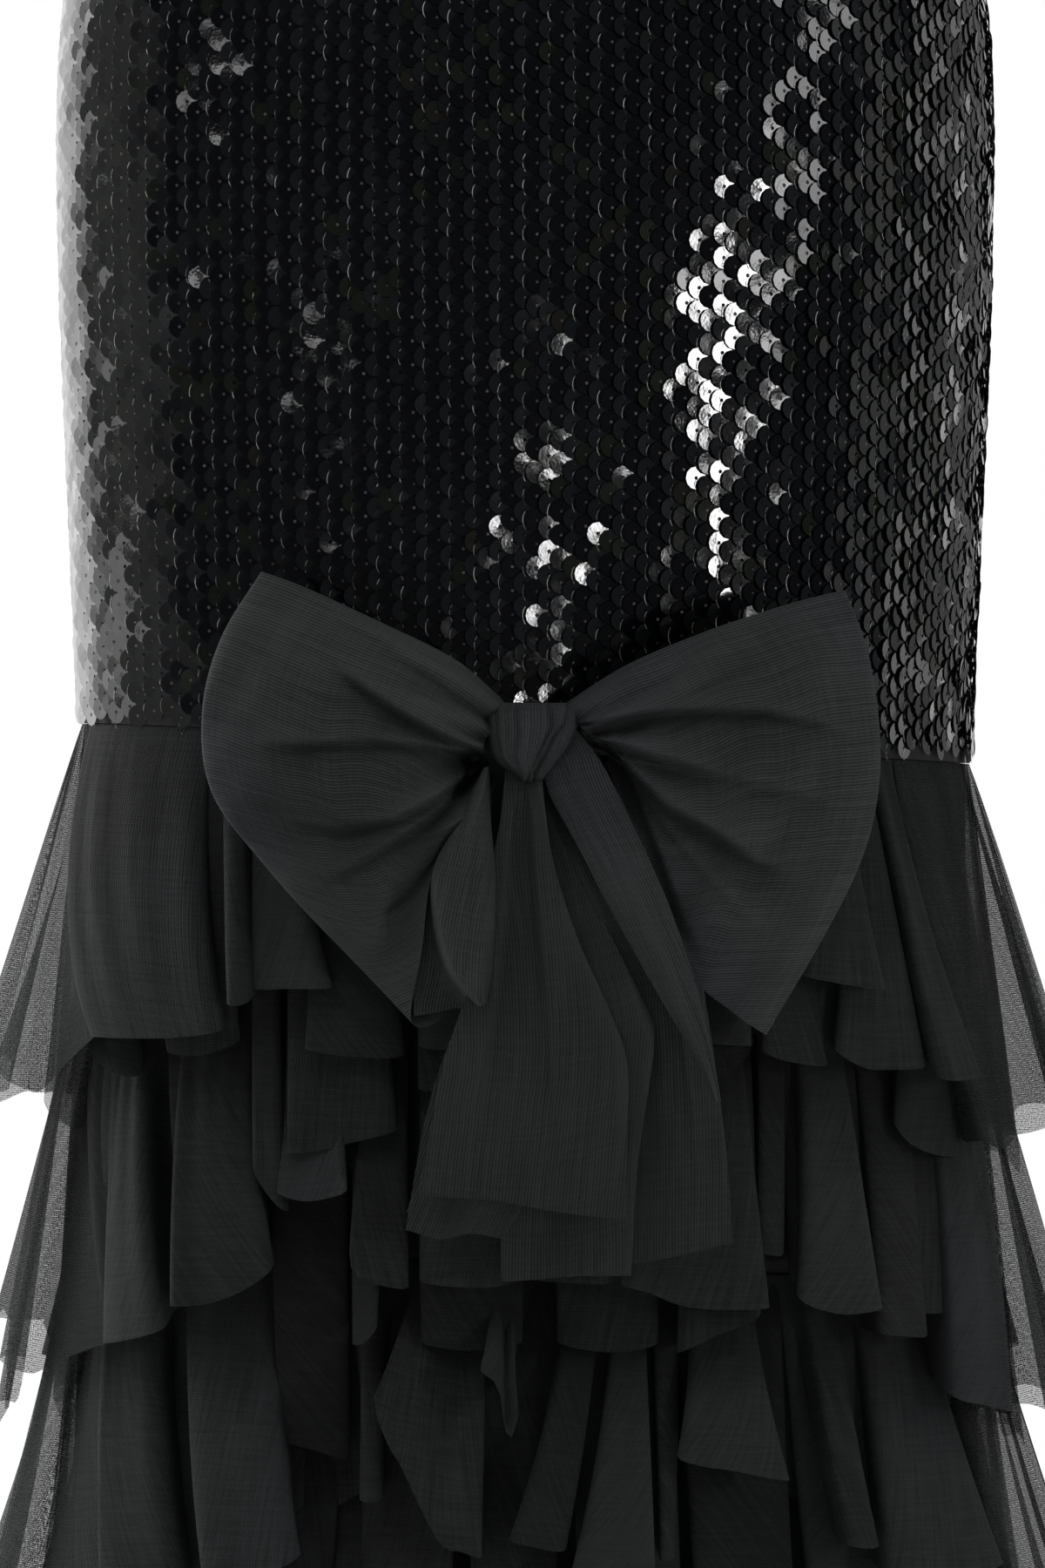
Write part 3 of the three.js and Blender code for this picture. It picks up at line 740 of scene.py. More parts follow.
# Each panel of a tier: how far it stands off the underskirt, the two ends of its sewn edge in degrees round
# from the front, and the points of its hem, in degrees and in mm below the tier's own hem height.
outerPanels = [
    [
        (40, (-99, -88), ((-100, 10), (-92, 4), (-85, 6))),
        (34, (-86, -77), ((-82, 9), (-74, 15), (-66, 11))),
        (29, (-75, -42.8), ((-54.2, -8.5), (-47.1, -8), (-40.1, -8.4), (-34.4, -11.2))),
        (33, (-39.1, -36.2), ((-33.2, -20.5), (-30.8, -21.2))),
        (27, (-34.1, -28.1), ((-31.4, -26.2), (-26.4, -25.7), (-21.7, -26.1))),
        (24, (-25.5, -17.9), ((-25, -4.8), (-19.5, -1.9), (-13.8, -3))),
        (21, (-15.7, -1.5), ((-12.3, -5.9), (-6.3, -4.9), (-0.4, -7.9))),
        (21, (1.7, 14.8), ((3.6, -8.7), (9.5, -8.2), (14.5, -12.6))),
        (22, (17.5, 26), ((17.4, -13.4), (25.5, -12.1))),
        (24, (28.1, 34.1), ((26.6, -10.9), (29.5, -7.6), (35.2, -7.5))),
        (30, (35.6, 41.2), ((30.6, -38.9), (34.1, -36.6), (38, -35.6), (41.5, -35.7))),
        (27, (42.4, 46.2), ((35.5, -12.9), (38.4, -7.6), (41.3, -7), (48.1, -10))),
        (34, (47, 50.5), ((48, -5.5), (51.8, -5.2), (55.7, -7.9))),
        (29, (52.3, 73), ((57, 16), (61.4, 18.1), (65.8, 10.9))),
        (38, (75.5, 82), ((74, 2), (79, 8), (83, 3))),
        (40, (84, 97), ((86, 4), (91, 9), (97, 6))),
    ],
    [
        (28, (-97, -84), ((-98, 28), (-91, 36), (-83, 24))),
        (31, (-79, -66), ((-77, 8), (-66, 12))),
        (30, (-57.4, -52), ((-51, 0.4), (-45.9, -1.6), (-40.9, -6))),
        (33, (-44.6, -35), ((-39.2, -14.8), (-35.7, -14.8), (-32.6, -17.4), (-29.8, -22.1), (-27.8, -29))),
        (27, (-30.3, -22.5), ((-28.4, -55.1), (-24.6, -51.3), (-20.6, -53.6), (-19.5, -56.6))),
        (28, (-19.6, -14.5), ((-19.2, -33.6), (-18.1, -25.1), (-15.6, -22.2), (-13, -21.7))),
        (27, (-12.5, -1.5), ((-11.8, -24.1), (-6.1, -21.9), (-1.3, -24.6))),
        (27, (0.6, 10.9), ((-0.4, -26.1), (4.4, -24.9), (9.7, -26.7))),
        (31, (14.2, 26.1), ((10.2, -26.2), (13.2, -23.5), (16.5, -19.9), (20.6, -19.3), (26.5, -21.3))),
        (25, (29.1, 32.5), ((25.9, -40), (29.1, -40.3))),
        (33, (34, 40.1), ((29.8, -25.1), (33, -20.8), (36.2, -20.7), (39.5, -23.6))),
        (28, (43.1, 51.2), ((39.8, -14.2), (43.5, -13.4), (47.8, -15.1))),
        (34, (56.5, 69), ((49.5, 6.9), (54.7, 10), (60.4, 12.4))),
        (35, (71, 79), ((66, 10), (76, 16))),
        (41, (81, 95), ((82, 6), (89, 12), (96, 10))),
    ],
    [
        (30, (-98, -84), ((-99, 22), (-91, 30), (-83, 18))),
        (34, (-78, -66), ((-77, 4), (-66, 9))),
        (32, (-58.8, -48.5), ((-48.9, -12.4), (-42.2, -11), (-36.8, -13.6))),
        (36, (-43.6, -32), ((-34.2, -17.9), (-28.6, -20.3), (-23.7, -28.3))),
        (25, (-19.3, -17.3), ((-18.2, -47.3), (-15.6, -47.7))),
        (35, (-13, -4.7), ((-16, -85.1), (-14.6, -68.6), (-13, -60.2), (-9.1, -34.9), (-6.7, -31.1),
                           (-4.6, -29.7))),
        (38, (-3.6, -1.9), ((-4.8, -94.3), (-2.9, -88.4), (-1.9, -70.4), (-0.8, -79.5))),
        (33, (5.4, 8.9), ((-1.8, -35.7), (0.5, -33.2), (4.2, -32.7))),
        (36, (10.9, 14.1), ((4.6, -23.2), (8.6, -22.3), (13.2, -26.8))),
        (27, (15.4, 18.4), ((14.2, -30.9), (16.2, -32.5))),
        (33, (20.2, 26.9), ((16.2, -67.4), (18.1, -64.8), (21.4, -63.9), (27.9, -61.7))),
        (34, (34.7, 38.5), ((34.5, -39.7), (38.7, -40.4))),
        (36, (43, 53.8), ((39.2, -28.8), (47.1, -29.2), (55.8, -35))),
        (37, (58, 72), ((60, 2), (66, 9), (72, 6))),
        (42, (80, 97), ((80, 6), (88, 14), (97, 10))),
    ],
]
underPanels = [
    [
        (25, (-103, -90), ((-103, 22), (-90, 12))),
        (22, (-87, -75), ((-84, 14), (-71, 24))),
        (19, (-72.5, -57.8), ((-57.3, -5.2), (-53.6, 3.5), (-48.9, 5.3))),
        (18, (-53.9, -39.1), ((-44.5, -3.7), (-39.3, -1.6), (-34, -6.9))),
        (23, (-35.6, -32.6), ((-31.3, 36), (-29.4, 45.8), (-27, 52.4))),
        (23, (-29.2, -18.5), ((-27, 31.6), (-23.5, 31.2), (-20, 28.6), (-14.5, 23.6))),
        (18, (-13.5, -1.5), ((-12.5, 9.4), (-6.4, 11.7), (-0.4, 9.6))),
        (18, (1.7, 14.8), ((1.6, 8.6), (7.6, 11), (13.6, 7.5))),
        (18, (17.5, 28.2), ((16.1, 5.4), (21.8, 1.1), (26.5, -13.8))),
        (18, (31.9, 48.7), ((28.7, -12.7), (37.1, -12), (46.2, -14.6))),
        (26, (52.3, 71.4), ((45.4, 11.5), (47.1, 18), (51.5, 21.7), (58.1, 21.9))),
        (27, (72, 88), ((74, 20), (81, 26), (88, 12))),
    ],
    [
        (19, (-101, -88), ((-101, 34), (-88, 20))),
        (20, (-83, -70), ((-82, 24), (-70, 16))),
        (20, (-69.7, -53.2), ((-54, -15.2), (-48.9, -13.1), (-44.4, -15.8))),
        (20, (-48.1, -34), ((-40.7, -31.5), (-36.1, -28), (-30.6, -38.1))),
        (14, (-32.5, -22.5), ((-28.6, 33), (-24.4, 36.4), (-20.4, 38.9))),
        (21, (-21.1, -16.7), ((-19.8, -2.1), (-18.2, -1.6), (-16.6, -7.1))),
        (18, (-13.5, -0.4), ((-11.8, -2.2), (-6.3, 0.6), (-0.4, -2.7))),
        (18, (3.9, 16.4), ((3.5, -3.5), (9.5, -1.1), (14.9, -5.9))),
        (27, (19.7, 27.6), ((16.5, -3), (20.7, -9.9), (26, -19.1))),
        (18, (31.8, 46.8), ((30.5, -30.4), (35.5, -28.8), (41.5, -32.2))),
        (22, (50.2, 60), ((44.4, -23.6), (48.5, -21.6), (53.5, -24.5))),
        (22, (62, 72), ((56, 10), (70, 12))),
        (26, (76, 90), ((76, 18), (83, 26), (90, 22))),
    ],
    [
        (20, (-102, -89), ((-102, 30), (-89, 24))),
        (22, (-84, -68), ((-83, 18), (-68, 12))),
        (21, (-62, -50), ((-62, 14), (-50, 8))),
        (20, (-47, -34), ((-46, 10), (-36, 14))),
        (8, (-31, -22), ((-31, 4), (-23, -4))),
        (20, (-19, -8), ((-18, 20), (-9, 12))),
        (20, (-6, 4), ((-6, -4), (3, 2))),
        (22, (6, 17), ((6, 6), (17, 10))),
        (22, (19, 31), ((19, -2), (30, -6))),
        (22, (33, 47), ((33, 8), (46, 4))),
        (24, (50, 65), ((50, 12), (64, 16))),
        (27, (71, 88), ((72, 18), (80, 27), (88, 24))),
    ],
]


def uneven(n):
    # a number from -1 to 1 that looks random and is the same each time
    return math.sin(n * 12.9898) * 0.6 + math.sin(n * 4.1414 + 1.3) * 0.4


def panelSeed(tier, under, n):
    return tier * 31 + n * 7 + under * 5


def madePanels(tier, under, begin, room, count):
    # broad, narrow and flared ones in no order
    out = skirt["under" if under else "outer"]["madeAt"] + tier * skirt["lowerOut"]
    panels = []
    for n in range(count):
        seed, at = panelSeed(tier, under, n), begin + room * (n + 0.5)
        half = room * (0.42 + 0.13 * uneven(seed + 1))
        sewn = room * min(0.30 + 0.14 * uneven(seed + 7), 0.42)
        drop, slope, bow = 3 + 12 * uneven(seed + 3), 8 * uneven(seed + 4), 3 + 4 * uneven(seed + 6)
        middle = at + room * 0.14 * uneven(seed)
        hem = ((middle - half, drop - slope), (middle, drop + bow), (middle + half, drop + slope))
        panels.append((out + 5 * uneven(seed + 2), (at - sewn, at + sewn), hem))
    return panels


def panelsOf(tier, under):
    # the panels in order round one layer of a tier, those of the hidden sides made by one rule
    known = underPanels if under else outerPanels
    if tier > len(known):
        count = skirt["under" if under else "outer"]["panels"]
        return madePanels(tier, under, -180, 360 / count, count)
    front = known[tier - 1]
    begin = front[-1][2][-1][0] + 1
    room = (front[0][2][0][0] + 359 - begin) / skirt["hiddenPanels"]
    return [*front, *madePanels(tier, under, begin, room, skirt["hiddenPanels"])]


def splineAt(values, at, ring=False):
    # a smooth line through evenly spaced values
    values = np.asarray(values, float)
    last = len(values) - 1
    i = np.floor(at).astype(int)
    i = i if ring else np.clip(i, 0, last - 1)
    t = (at - i).reshape(at.shape + (1,) * (values.ndim - 1))
    around = [(i + k) % len(values) if ring else np.clip(i + k, 0, last) for k in (-1, 0, 1, 2)]
    p0, p1, p2, p3 = (values[k] for k in around)
    curved = (2 * p0 - 5 * p1 + 4 * p2 - p3) * t**2 + (3 * p1 - p0 - 3 * p2 + p3) * t**3
    return 0.5 * (2 * p1 + (p2 - p0) * t + curved)


def hemHeight(tier):
    return gown["seamHeight"] - skirt["firstDrop"] - (tier - 1) * skirt["pitch"]


def tierTop(tier):
    return gown["seamHeight"] - 0.3 if tier == 1 else hemHeight(tier - 1) + skirt["overlap"]


def droop(angle):
    # how much lower a hem hangs towards the back
    return skirt["sideDroop"] * np.sin(np.radians(turned(angle)) / 2) ** 1.2


def onUnderskirt(angle, z, out=0.0):
    return figurePoint(angle, z, out - gown["underskirtInset"])


def tierCorners(tier, under):
    # Where the cloth turns, in order round one layer of a tier: the angles of its sewn edge and its hem, how
    # far out and how far down the hem lies there, and how late it flares. The grains give each panel its own
    # number, from the first of its corners to the last.
    panels, layer = panelsOf(tier, under), skirt["under" if under else "outer"]
    corners, grains = [], []
    for n, (out, sewn, hem) in enumerate(panels):
        wrap = 360 if n + 1 == len(panels) else 0
        _, nextSewn, nextHem = panels[(n + 1) % len(panels)]
        seed = panelSeed(tier, under, n)
        # at the sides one layer swings clear of the other, so that light comes through both
        end, endDrop = hem[-1]
        aside = float(ease((abs(math.sin(math.radians(end + 3))) - skirt["clearFrom"]) / 0.1))
        out -= skirt["partedBy"] * aside * under
        facing = skirt["facing"] * uneven(seed + 11) * (1 - aside)
        bell = skirt["bell"] + 0.35 * uneven(seed + 5)
        first = len(corners)
        for k, (angle, drop) in enumerate(hem):
            share = k / (len(hem) - 1)
            bulge = skirt["bulge"] * math.sin(math.pi * share) + facing * (0.5 - share)
            corners.append((sewn[0] + (sewn[1] - sewn[0]) * share, angle, out + bulge, drop, bell))
        grain = uneven(seed + 1162)
        grains += [(first - 0.4, grain), (len(corners) - 0.6, grain)]
        # between two panels the cloth turns back into a valley, where its hem is drawn up
        nextStart, nextDrop = nextHem[0]
        gap = nextSewn[0] + wrap - sewn[1]
        tuck = min(skirt["turnedUnder"], (end - hem[0][0]) * 0.3) * (1 - aside)
        nextTuck = min(skirt["turnedUnder"], (nextHem[-1][0] - nextStart) * 0.3) * (1 - aside)
        hollow = layer["valley"] + (out - layer["valley"] - 6) * aside
        drawn = (9 + 7 * uneven(seed + 13)) * (1 - aside)
        corners += [
            (sewn[1] + gap * 0.3, end - tuck, hollow, endDrop - drawn, bell),
            (sewn[1] + gap * 0.7, nextStart + wrap + nextTuck, hollow, nextDrop - drawn * 0.7, bell),
        ]
    return np.array(corners), grains


def tierColumns(tier, corners):
    # the corners' values for each column, and its place among them; the columns are shared out by the length
    # of the hem between one corner and the next
    count, onceRound = len(corners), [[360, 360, 0, 0, 0]]
    closed = np.concatenate([corners, corners[:1] + onceRound])
    radius = skirt["hemRadius"] + closed[:, 2]
    hemX, hemY = radius * np.cos(np.radians(closed[:, 1])), radius * np.sin(np.radians(closed[:, 1]))
    step = np.hypot(np.diff(hemX), np.diff(hemY)) + 2.0
    columns = skirt["columns"] if tier <= skirt["closeTiers"] else skirt["plainColumns"]
    stops = np.concatenate([[0], np.cumsum(step)])
    at = np.interp(np.linspace(0, stops[-1], columns + 1)[:-1], stops, np.arange(count + 1))
    near = np.arange(-1, count + 3)
    wide = corners[near % count] + np.floor_divide(near, count)[:, None] * onceRound
    return splineAt(wide, at + 1).T, at


def gathers(along, level, seed):
    # close and shallow at the sewn edge, then wider and softer on the way down
    drift = 1.6 * np.sin(along * 0.021 + seed) + 0.9 * np.sin(along * 0.057 + seed * 3)
    fine = math.tau * along / skirt["finePleat"] + 2.2 * drift + level * 1.1 * np.sin(along * 0.09)
    soft = math.tau * along / skirt["softPleat"] + 1.4 * drift + 1.3
    soft = soft + level * 1.5 * np.sin(along * 0.05 + seed)
    strength = 0.65 + 0.35 * np.sin(along * 0.037 + seed * 2)
    fineFades = (1 - level) ** 1.3 * np.minimum(1, 0.3 + level * 6)
    softFades = np.sin(math.pi * np.minimum(level * 0.85 + 0.1, 1)) * np.minimum(1, level * 4)
    fine = skirt["fineDeep"] * strength * np.cos(fine) * fineFades
    return fine + skirt["softDeep"] * np.cos(soft) * softFades


def tierGrid(tier, under):
    # the points of one layer, the grain of each column, and the looks that its material reads
    corners, grains = tierCorners(tier, under)
    (topAngle, hemAngle, out, drop, bell), at = tierColumns(tier, corners)
    grain = np.interp(at, *zip(*grains), period=len(corners))
    level = (np.linspace(0, 1, skirt["rows"]) ** skirt["rowsCloser"])[:, None]
    angle = topAngle + (hemAngle - topAngle) * level**bell
    top, hem = tierTop(tier), hemHeight(tier) - drop - droop(hemAngle)
    sewnAt = skirt["under" if under else "outer"]["sewnAt"]
    off = sewnAt + (out - sewnAt) * level ** skirt["flare"]
    off = off + gathers(np.radians(topAngle) * skirt["sewnRadius"], level, tier * 1.7 + under * 0.9)
    off = np.maximum(off, 0.3)
    z = top + (hem - top) * level + tilt(angle, top)
    sheer = ease((np.abs(np.sin(np.radians(hemAngle))) - 0.80) / 0.12)
    sheer = sheer * (1 if tier <= skirt["sheerTiers"] else 0.4)
    # the first look rises from 0 near the underskirt, where the net's colour gets painted shade, to 1 further
    # out
    looks = {"outOfPaintedShade": ease((off - 4) / 24), "own": grain + 0 * off, "sheer": sheer + 0 * off}
    return onUnderskirt(angle, z, off), grain, looks


tulle = {
    "mesh": 1.55,  # from one hole to the next, in mm
    "bowMesh": 1.2,
    "ribs": 1.12,
    "warp": (0.62, 0.03),  # how often the thicker threads come, across and down the cloth
    "weft": (0.04, 0.75),
    "grit": 1.3,
    "clouds": 16.0,  # broad lighter patches, to the metre
    "violetPatches": 9.0,
    "violet": (1.07, 0.97, 1.12),
    "rough": 0.85,
}


def netShader(name, shade, light, ribs, slubs, layer=None):
    # A fine diagonal net. Ribs are the lines that show along it where it lies many times over, slubs its
    # thicker threads, and layer the looks of a tier's net; without them it is the bow's.
    meshApart, ribApart = tulle["mesh"] if layer else tulle["bowMesh"], tulle["ribs"]
    s = newShader(name)
    uv, across, down = clothUv(s)
    place = s.objectPlace()
    net = (across + down).waves(meshApart) * (across - down).waves(meshApart)
    cloud = s.noise(place, tulle["clouds"], 2.0)
    warp = s.stretchedNoise(uv, *tulle["warp"])
    weft = s.stretchedNoise(uv, *tulle["weft"])
    grit = s.noise(uv, tulle["grit"], 1.0)
    rib = (across * (math.tau / ribApart) + warp * 2.0).maths("SINE")
    threads = (warp - 0.5) * (1.5 * slubs) + (weft - 0.5) * (1.0 * slubs)
    tone = net * (0.30 * (1 - ribs)) + rib * (0.22 * ribs) + cloud * 0.5 + threads + grit * 0.4 + 0.15
    alpha = 1.0
    if layer:
        # each panel gets its own tone, and the net's colour gets painted shade where it lies deep between the
        # folds
        tone = tone + s.look("own") * 0.22
        shade, light = (s.blend(s.look("outOfPaintedShade"), dimmed(c, layer["hollowShadePainted"]), c) for c in (shade, light))
        # layer on layer hides what is below, and at the sides one layer is seen alone
        weave = net * (layer["openness"] * 0.5) + (grit - 0.5) * 1.2
        alpha = s.look("sheer") * (weave - (1 - layer["opacity"])) + 1
    else:
        # painted shade and highlight: the bow's net is painted darker where it has sunk into a crease or
        # pleat, and lighter where it stands proud
        tone = tone - s.look("sunk") * 0.07
    colour = s.blend(s.smoothstep(tone, 0.15, 1.05), shade, light)
    # here and there the black leans to violet
    cast = s.smoothstep(s.noise(place, tulle["violetPatches"], 0.0), 0.42, 0.62)
    violet = s.node("ShaderNodeVectorMath", {"operation": "MULTIPLY"}, {0: colour, 1: tulle["violet"]})
    bump = s.bump(0.45, 0.0003, across.waves(ribApart) * (ribs * 0.5) + net * (1 - ribs))
    looks = {"Base Color": s.blend(cast * 0.6, colour, violet), "Alpha": alpha, "Normal": bump}
    return s.finish({**looks, "Roughness": tulle["rough"], "Specular IOR Level": 0.2})


def placeFor(grid, flat=False):
    # the cloth's own place of each point: down from the top, and across along the widest row, or where it
    # lies flat, each way from its middle
    across = np.stack([lengthsAlong(row) for row in grid])
    across = across - across[:, -1:] / 2 if flat else across[[across[:, -1].argmax()]]
    down = np.stack([lengthsAlong(grid[:, n]) for n in range(grid.shape[1])], 1)
    return np.stack([across + 0 * down, down], -1)


def makeSkirt():
    # the same net twice; the under layer's copy is darker, as painted shade behind the outer layer
    nets = {
        "outer": netShader("tulleNet", inky(0.0105), inky(0.036), 0.35, 0.52, skirt["outer"]),
        "under": netShader("tulleNetUnderPaintedShade", inky(0.0080), inky(0.028), 0.35, 0.52, skirt["under"]),
    }
    lining = backingCloth("underskirtCloth", 0.011, 0.017)
    for name, span in panelSpans("underskirt").items():
        angle = np.linspace(*span, 48)[None, :]
        height = np.linspace(tierTop(1), gown["underskirtHem"], 44)[:, None] + 0 * angle
        angle = angle + 0 * height
        grid = onUnderskirt(angle, height + tilt(angle, height))
        cloth = thicken(clothMesh(name + "_cloth", [(grid, placeFor(grid), False)], lining), 1.0)
        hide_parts(name)
    for tier in range(1, skirt["tiers"] + 1):
        for layer in ("outer", "under"):
            grid, grain, looks = tierGrid(tier, layer == "under")
            place = placeFor(grid)
            place[..., 0] += place[..., 1] * grain * skirt["bias"]
            cloth = clothMesh(f"tier_{tier}_{layer}", [(grid, place, True)], nets[layer])
            for look, values in looks.items():
                keepLook(cloth, look, values)
            if layer == "outer":
                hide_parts(f"tier_{tier}")
    print("skirt made")


makeSkirt()

# the bow, in mm
bow = {
    # how many points its cloth has: down and along a loop, its inner fold, a tail's layer and the knot
    "loopPoints": (100, 156),
    "lobePoints": (96, 56),
    "tailPoints": (96, 48),
    "knotPoints": (80, 130),
    "loopSoft": 1.1,  # how uneven the stiff net is
    "tailSoft": 0.45,
    "fanDeep": 1.8,  # the pleats that spread from a loop's root
    "fanReach": 30,
    "fanFrom": 5,
    "creaseWider": 1.3,  # a loop's creases are this much wider and deeper than its table says
    "creaseDeeper": 1.15,
    "creaseEdge": 3.4,  # the broadest step from a crease's low side to its proud one
    "knotMiddle": 17,  # how far the middle of the knot stands ahead of the seam
    "tailSeeds": {"bow_tail_left": 13, "bow_tail_right": 14},
}
seamFront = float(figurePoint(0, gown["seamHeight"])[1])

# Points of each loop: across, up and how far ahead of the seam. A row runs from the front root, over
# the outer fold, to the root behind; the rows go from the top edge to the bottom one. A crease starts at its
# outer end: its line, how wide it is, how deep the cloth lies below the line and how proud above it.
bowLoops = {
    "bow_loop_left": {
        "net": [
            [(-6, -561, 18), (-24, -545, 29), (-52, -531, 30), (-78, -519, 24), (-93, -513.5, 16),
             (-74, -521, 9), (-44, -535, 10), (-6, -561, 12)],
            [(-10, -567, 22), (-31, -555, 34), (-62, -545, 36), (-91, -537, 29), (-107, -537, 18),
             (-85, -543, 8), (-50, -553, 9), (-12, -567, 12)],
            [(-14, -572, 23), (-36, -568, 36), (-68, -564, 39), (-98, -561, 31), (-113.5, -563, 20),
             (-90, -566, 9), (-52, -571, 9), (-14, -571, 12)],
            [(-15, -577, 22), (-37, -582, 34), (-68, -587, 39), (-96, -590, 32), (-110, -591, 22),
             (-86, -591, 12), (-50, -587, 11), (-14, -576, 12)],
            [(-14, -580, 21), (-33, -595, 34), (-60, -612, 36.5), (-80, -619, 31), (-91, -617, 23),
             (-74, -618, 16), (-44, -608, 13), (-13, -581, 12)],
            [(-13.4, -581.4, 21), (-25, -599, 35.5), (-46, -627, 35), (-60, -643, 31), (-68, -642, 26),
             (-54, -644, 21), (-32, -628, 17), (-12, -584, 12)],
            [(-13, -583, 20), (-16.6, -597.5, 35), (-32, -618, 36.5), (-36.4, -646, 35.5),
             (-40, -671, 33), (-28, -668, 28), (-17, -640, 22), (-11, -586, 13)],
        ],
        "creases": [
            ([(-74, -543), (-60, -551.5), (-45, -562), (-30, -570.5), (-14, -577)], 4.6, 5.0, 3.0),
            ([(-104, -590), (-90, -595), (-76, -599), (-60, -602)], 8.0, 2.8, -2.4),
            ([(-108, -575.5), (-82, -573.5), (-54, -572.5), (-36, -574.5), (-24, -577),
              (-15, -579)], 3.8, 4.2, 1.8),
            ([(-27, -594), (-22, -588), (-18.5, -580)], 3.2, 6.5, -6.0),
            ([(-35, -606), (-27, -602.5), (-20, -599), (-16, -593), (-14.5, -586),
              (-13.5, -581)], 2.2, -2.6, 2.6),
            ([(-54, -644), (-48, -632), (-39, -624), (-31, -614), (-26, -606),
              (-21, -602)], 3.4, 3.6, -1.6),
            ([(-92, -600), (-66, -603), (-46, -600), (-31, -592.5), (-21, -586)], 4.4, 3.6, 2.0),
            ([(-78, -626), (-60, -616), (-44, -607), (-31, -598), (-23, -590)], 4.0, 2.6, 1.8),
            ([(-60, -534), (-42, -545), (-25, -556), (-10, -566)], 3.6, 1.6, 1.6),
            ([(-76, -524), (-52, -537), (-30, -549), (-9, -564)], 3.0, 1.0, 1.0),
            ([(-54, -652), (-50, -636), (-46, -618)], 5.0, -1.4, 1.8),
            ([(-37, -668), (-35.5, -650), (-33.5, -634), (-31, -616)], 1.6, -1.4, 1.4),
        ],
        "pleats": 5.5,
        "root": (-13, -575),
        "seed": -1,
    },
    "bow_loop_right": {
        "net": [
            [(12, -561, 18), (34, -547, 28), (62, -535, 31), (92, -525, 25), (112, -520, 15),
             (90, -526, 8), (52, -541, 9), (12, -561, 12)],
            [(17, -566, 22), (41, -556, 33), (72, -548, 38), (103, -541, 31), (119, -539, 18),
             (96, -544, 7), (56, -555, 8), (17, -566, 12)],
            [(21, -570, 23), (46, -565, 35), (78, -562, 41), (108, -561, 34), (123, -562, 20),
             (98, -563, 8), (58, -568, 9), (20, -571, 12)],
            [(24, -573, 23), (49, -576, 36), (80, -580, 42), (110, -584, 35), (123.5, -586, 22),
             (98, -584, 9), (58, -580, 10), (22, -574, 12)],
            [(27, -576, 22), (51, -590, 34), (78, -602, 39), (104, -611, 33), (118.5, -611, 22),
             (94, -606, 12), (56, -596, 12), (24, -577, 12)],
            [(29, -578, 21), (50, -606, 29), (72, -624, 32), (93, -636, 30), (106, -638, 22),
             (86, -630, 15), (54, -612, 13), (26, -579, 12)],
            [(28, -581, 20), (40, -620, 26), (56, -653, 29), (72.5, -668, 29), (84, -675.6, 26),
             (70, -664, 19), (47, -628, 15), (28, -581, 12)],
        ],
        "creases": [
            ([(119, -575), (103, -567), (84, -562.5), (62, -562), (44, -563), (24, -566)], 4.2, 3.6, 2.0),
            ([(70, -585), (56, -581), (44, -578), (30, -573.5)], 3.4, 4.6, 2.6),
            ([(96, -622), (80, -615), (66, -605), (48, -595), (34, -580)], 5.0, 5.2, 2.8),
            ([(98, -541), (72, -549), (46, -560), (24, -568)], 4.0, 1.2, 1.0),
            ([(116, -598), (96, -592), (72, -586), (48, -582)], 6.0, 1.0, 1.6),
            ([(64, -655), (54, -636), (46, -612), (36, -586)], 4.6, 3.0, 1.0),
            ([(88, -646), (74, -632), (60, -617), (48, -602)], 4.6, -0.6, 2.4),
            ([(121, -566), (119, -590), (110, -618), (98, -643), (84, -668)], 2.6, -1.2, 1.2),
        ],
        "pleats": 5.0,
        "root": (21, -572),
        "seed": 29,
    },
}
# the left loop's inner fold, which shows beside its front layer
loopLobe = {
    "net": [
        [(-15, -582, 19), (-24, -600, 27), (-33, -617, 30), (-39, -634, 31), (-40, -652, 32),
         (-39, -669, 32)],
        [(-14.8, -582, 21), (-23.5, -600, 30), (-32.4, -617, 33), (-33.5, -634, 32), (-30, -652, 32),
         (-22, -666, 32)],
        [(-14.6, -582, 24), (-22, -600, 36), (-31.4, -618, 41), (-30.6, -634, 45), (-25.5, -653, 48),
         (-15.6, -665, 47)],
        [(-14, -582, 25), (-18.5, -600, 38), (-23.5, -618, 43), (-23.5, -634, 47), (-20.5, -652, 50),
         (-15.3, -664.8, 47.5)],
        [(-13.4, -582, 24), (-14.6, -600, 37), (-15, -618, 42), (-15, -634, 46), (-15, -652, 49),
         (-14.6, -664.6, 47)],
        [(-13, -582, 19), (-12.6, -600, 31), (-11, -618, 35), (-11, -634, 39), (-12, -652, 43),
         (-13.8, -664, 44)],
        [(-12.6, -582, 14), (-12.2, -600, 25), (-11.4, -618, 29), (-11.4, -634, 33), (-12.2, -652, 37),
         (-13.8, -663.4, 40)],
    ],
    "creases": [
        ([(-20, -655), (-21, -630), (-18, -605), (-13, -585)], 3.0, 1.2, 0.6),
        ([(-16, -663), (-25.5, -653), (-30.4, -636), (-31.2, -619)], 1.6, -2.2, 2.2),
    ],
}
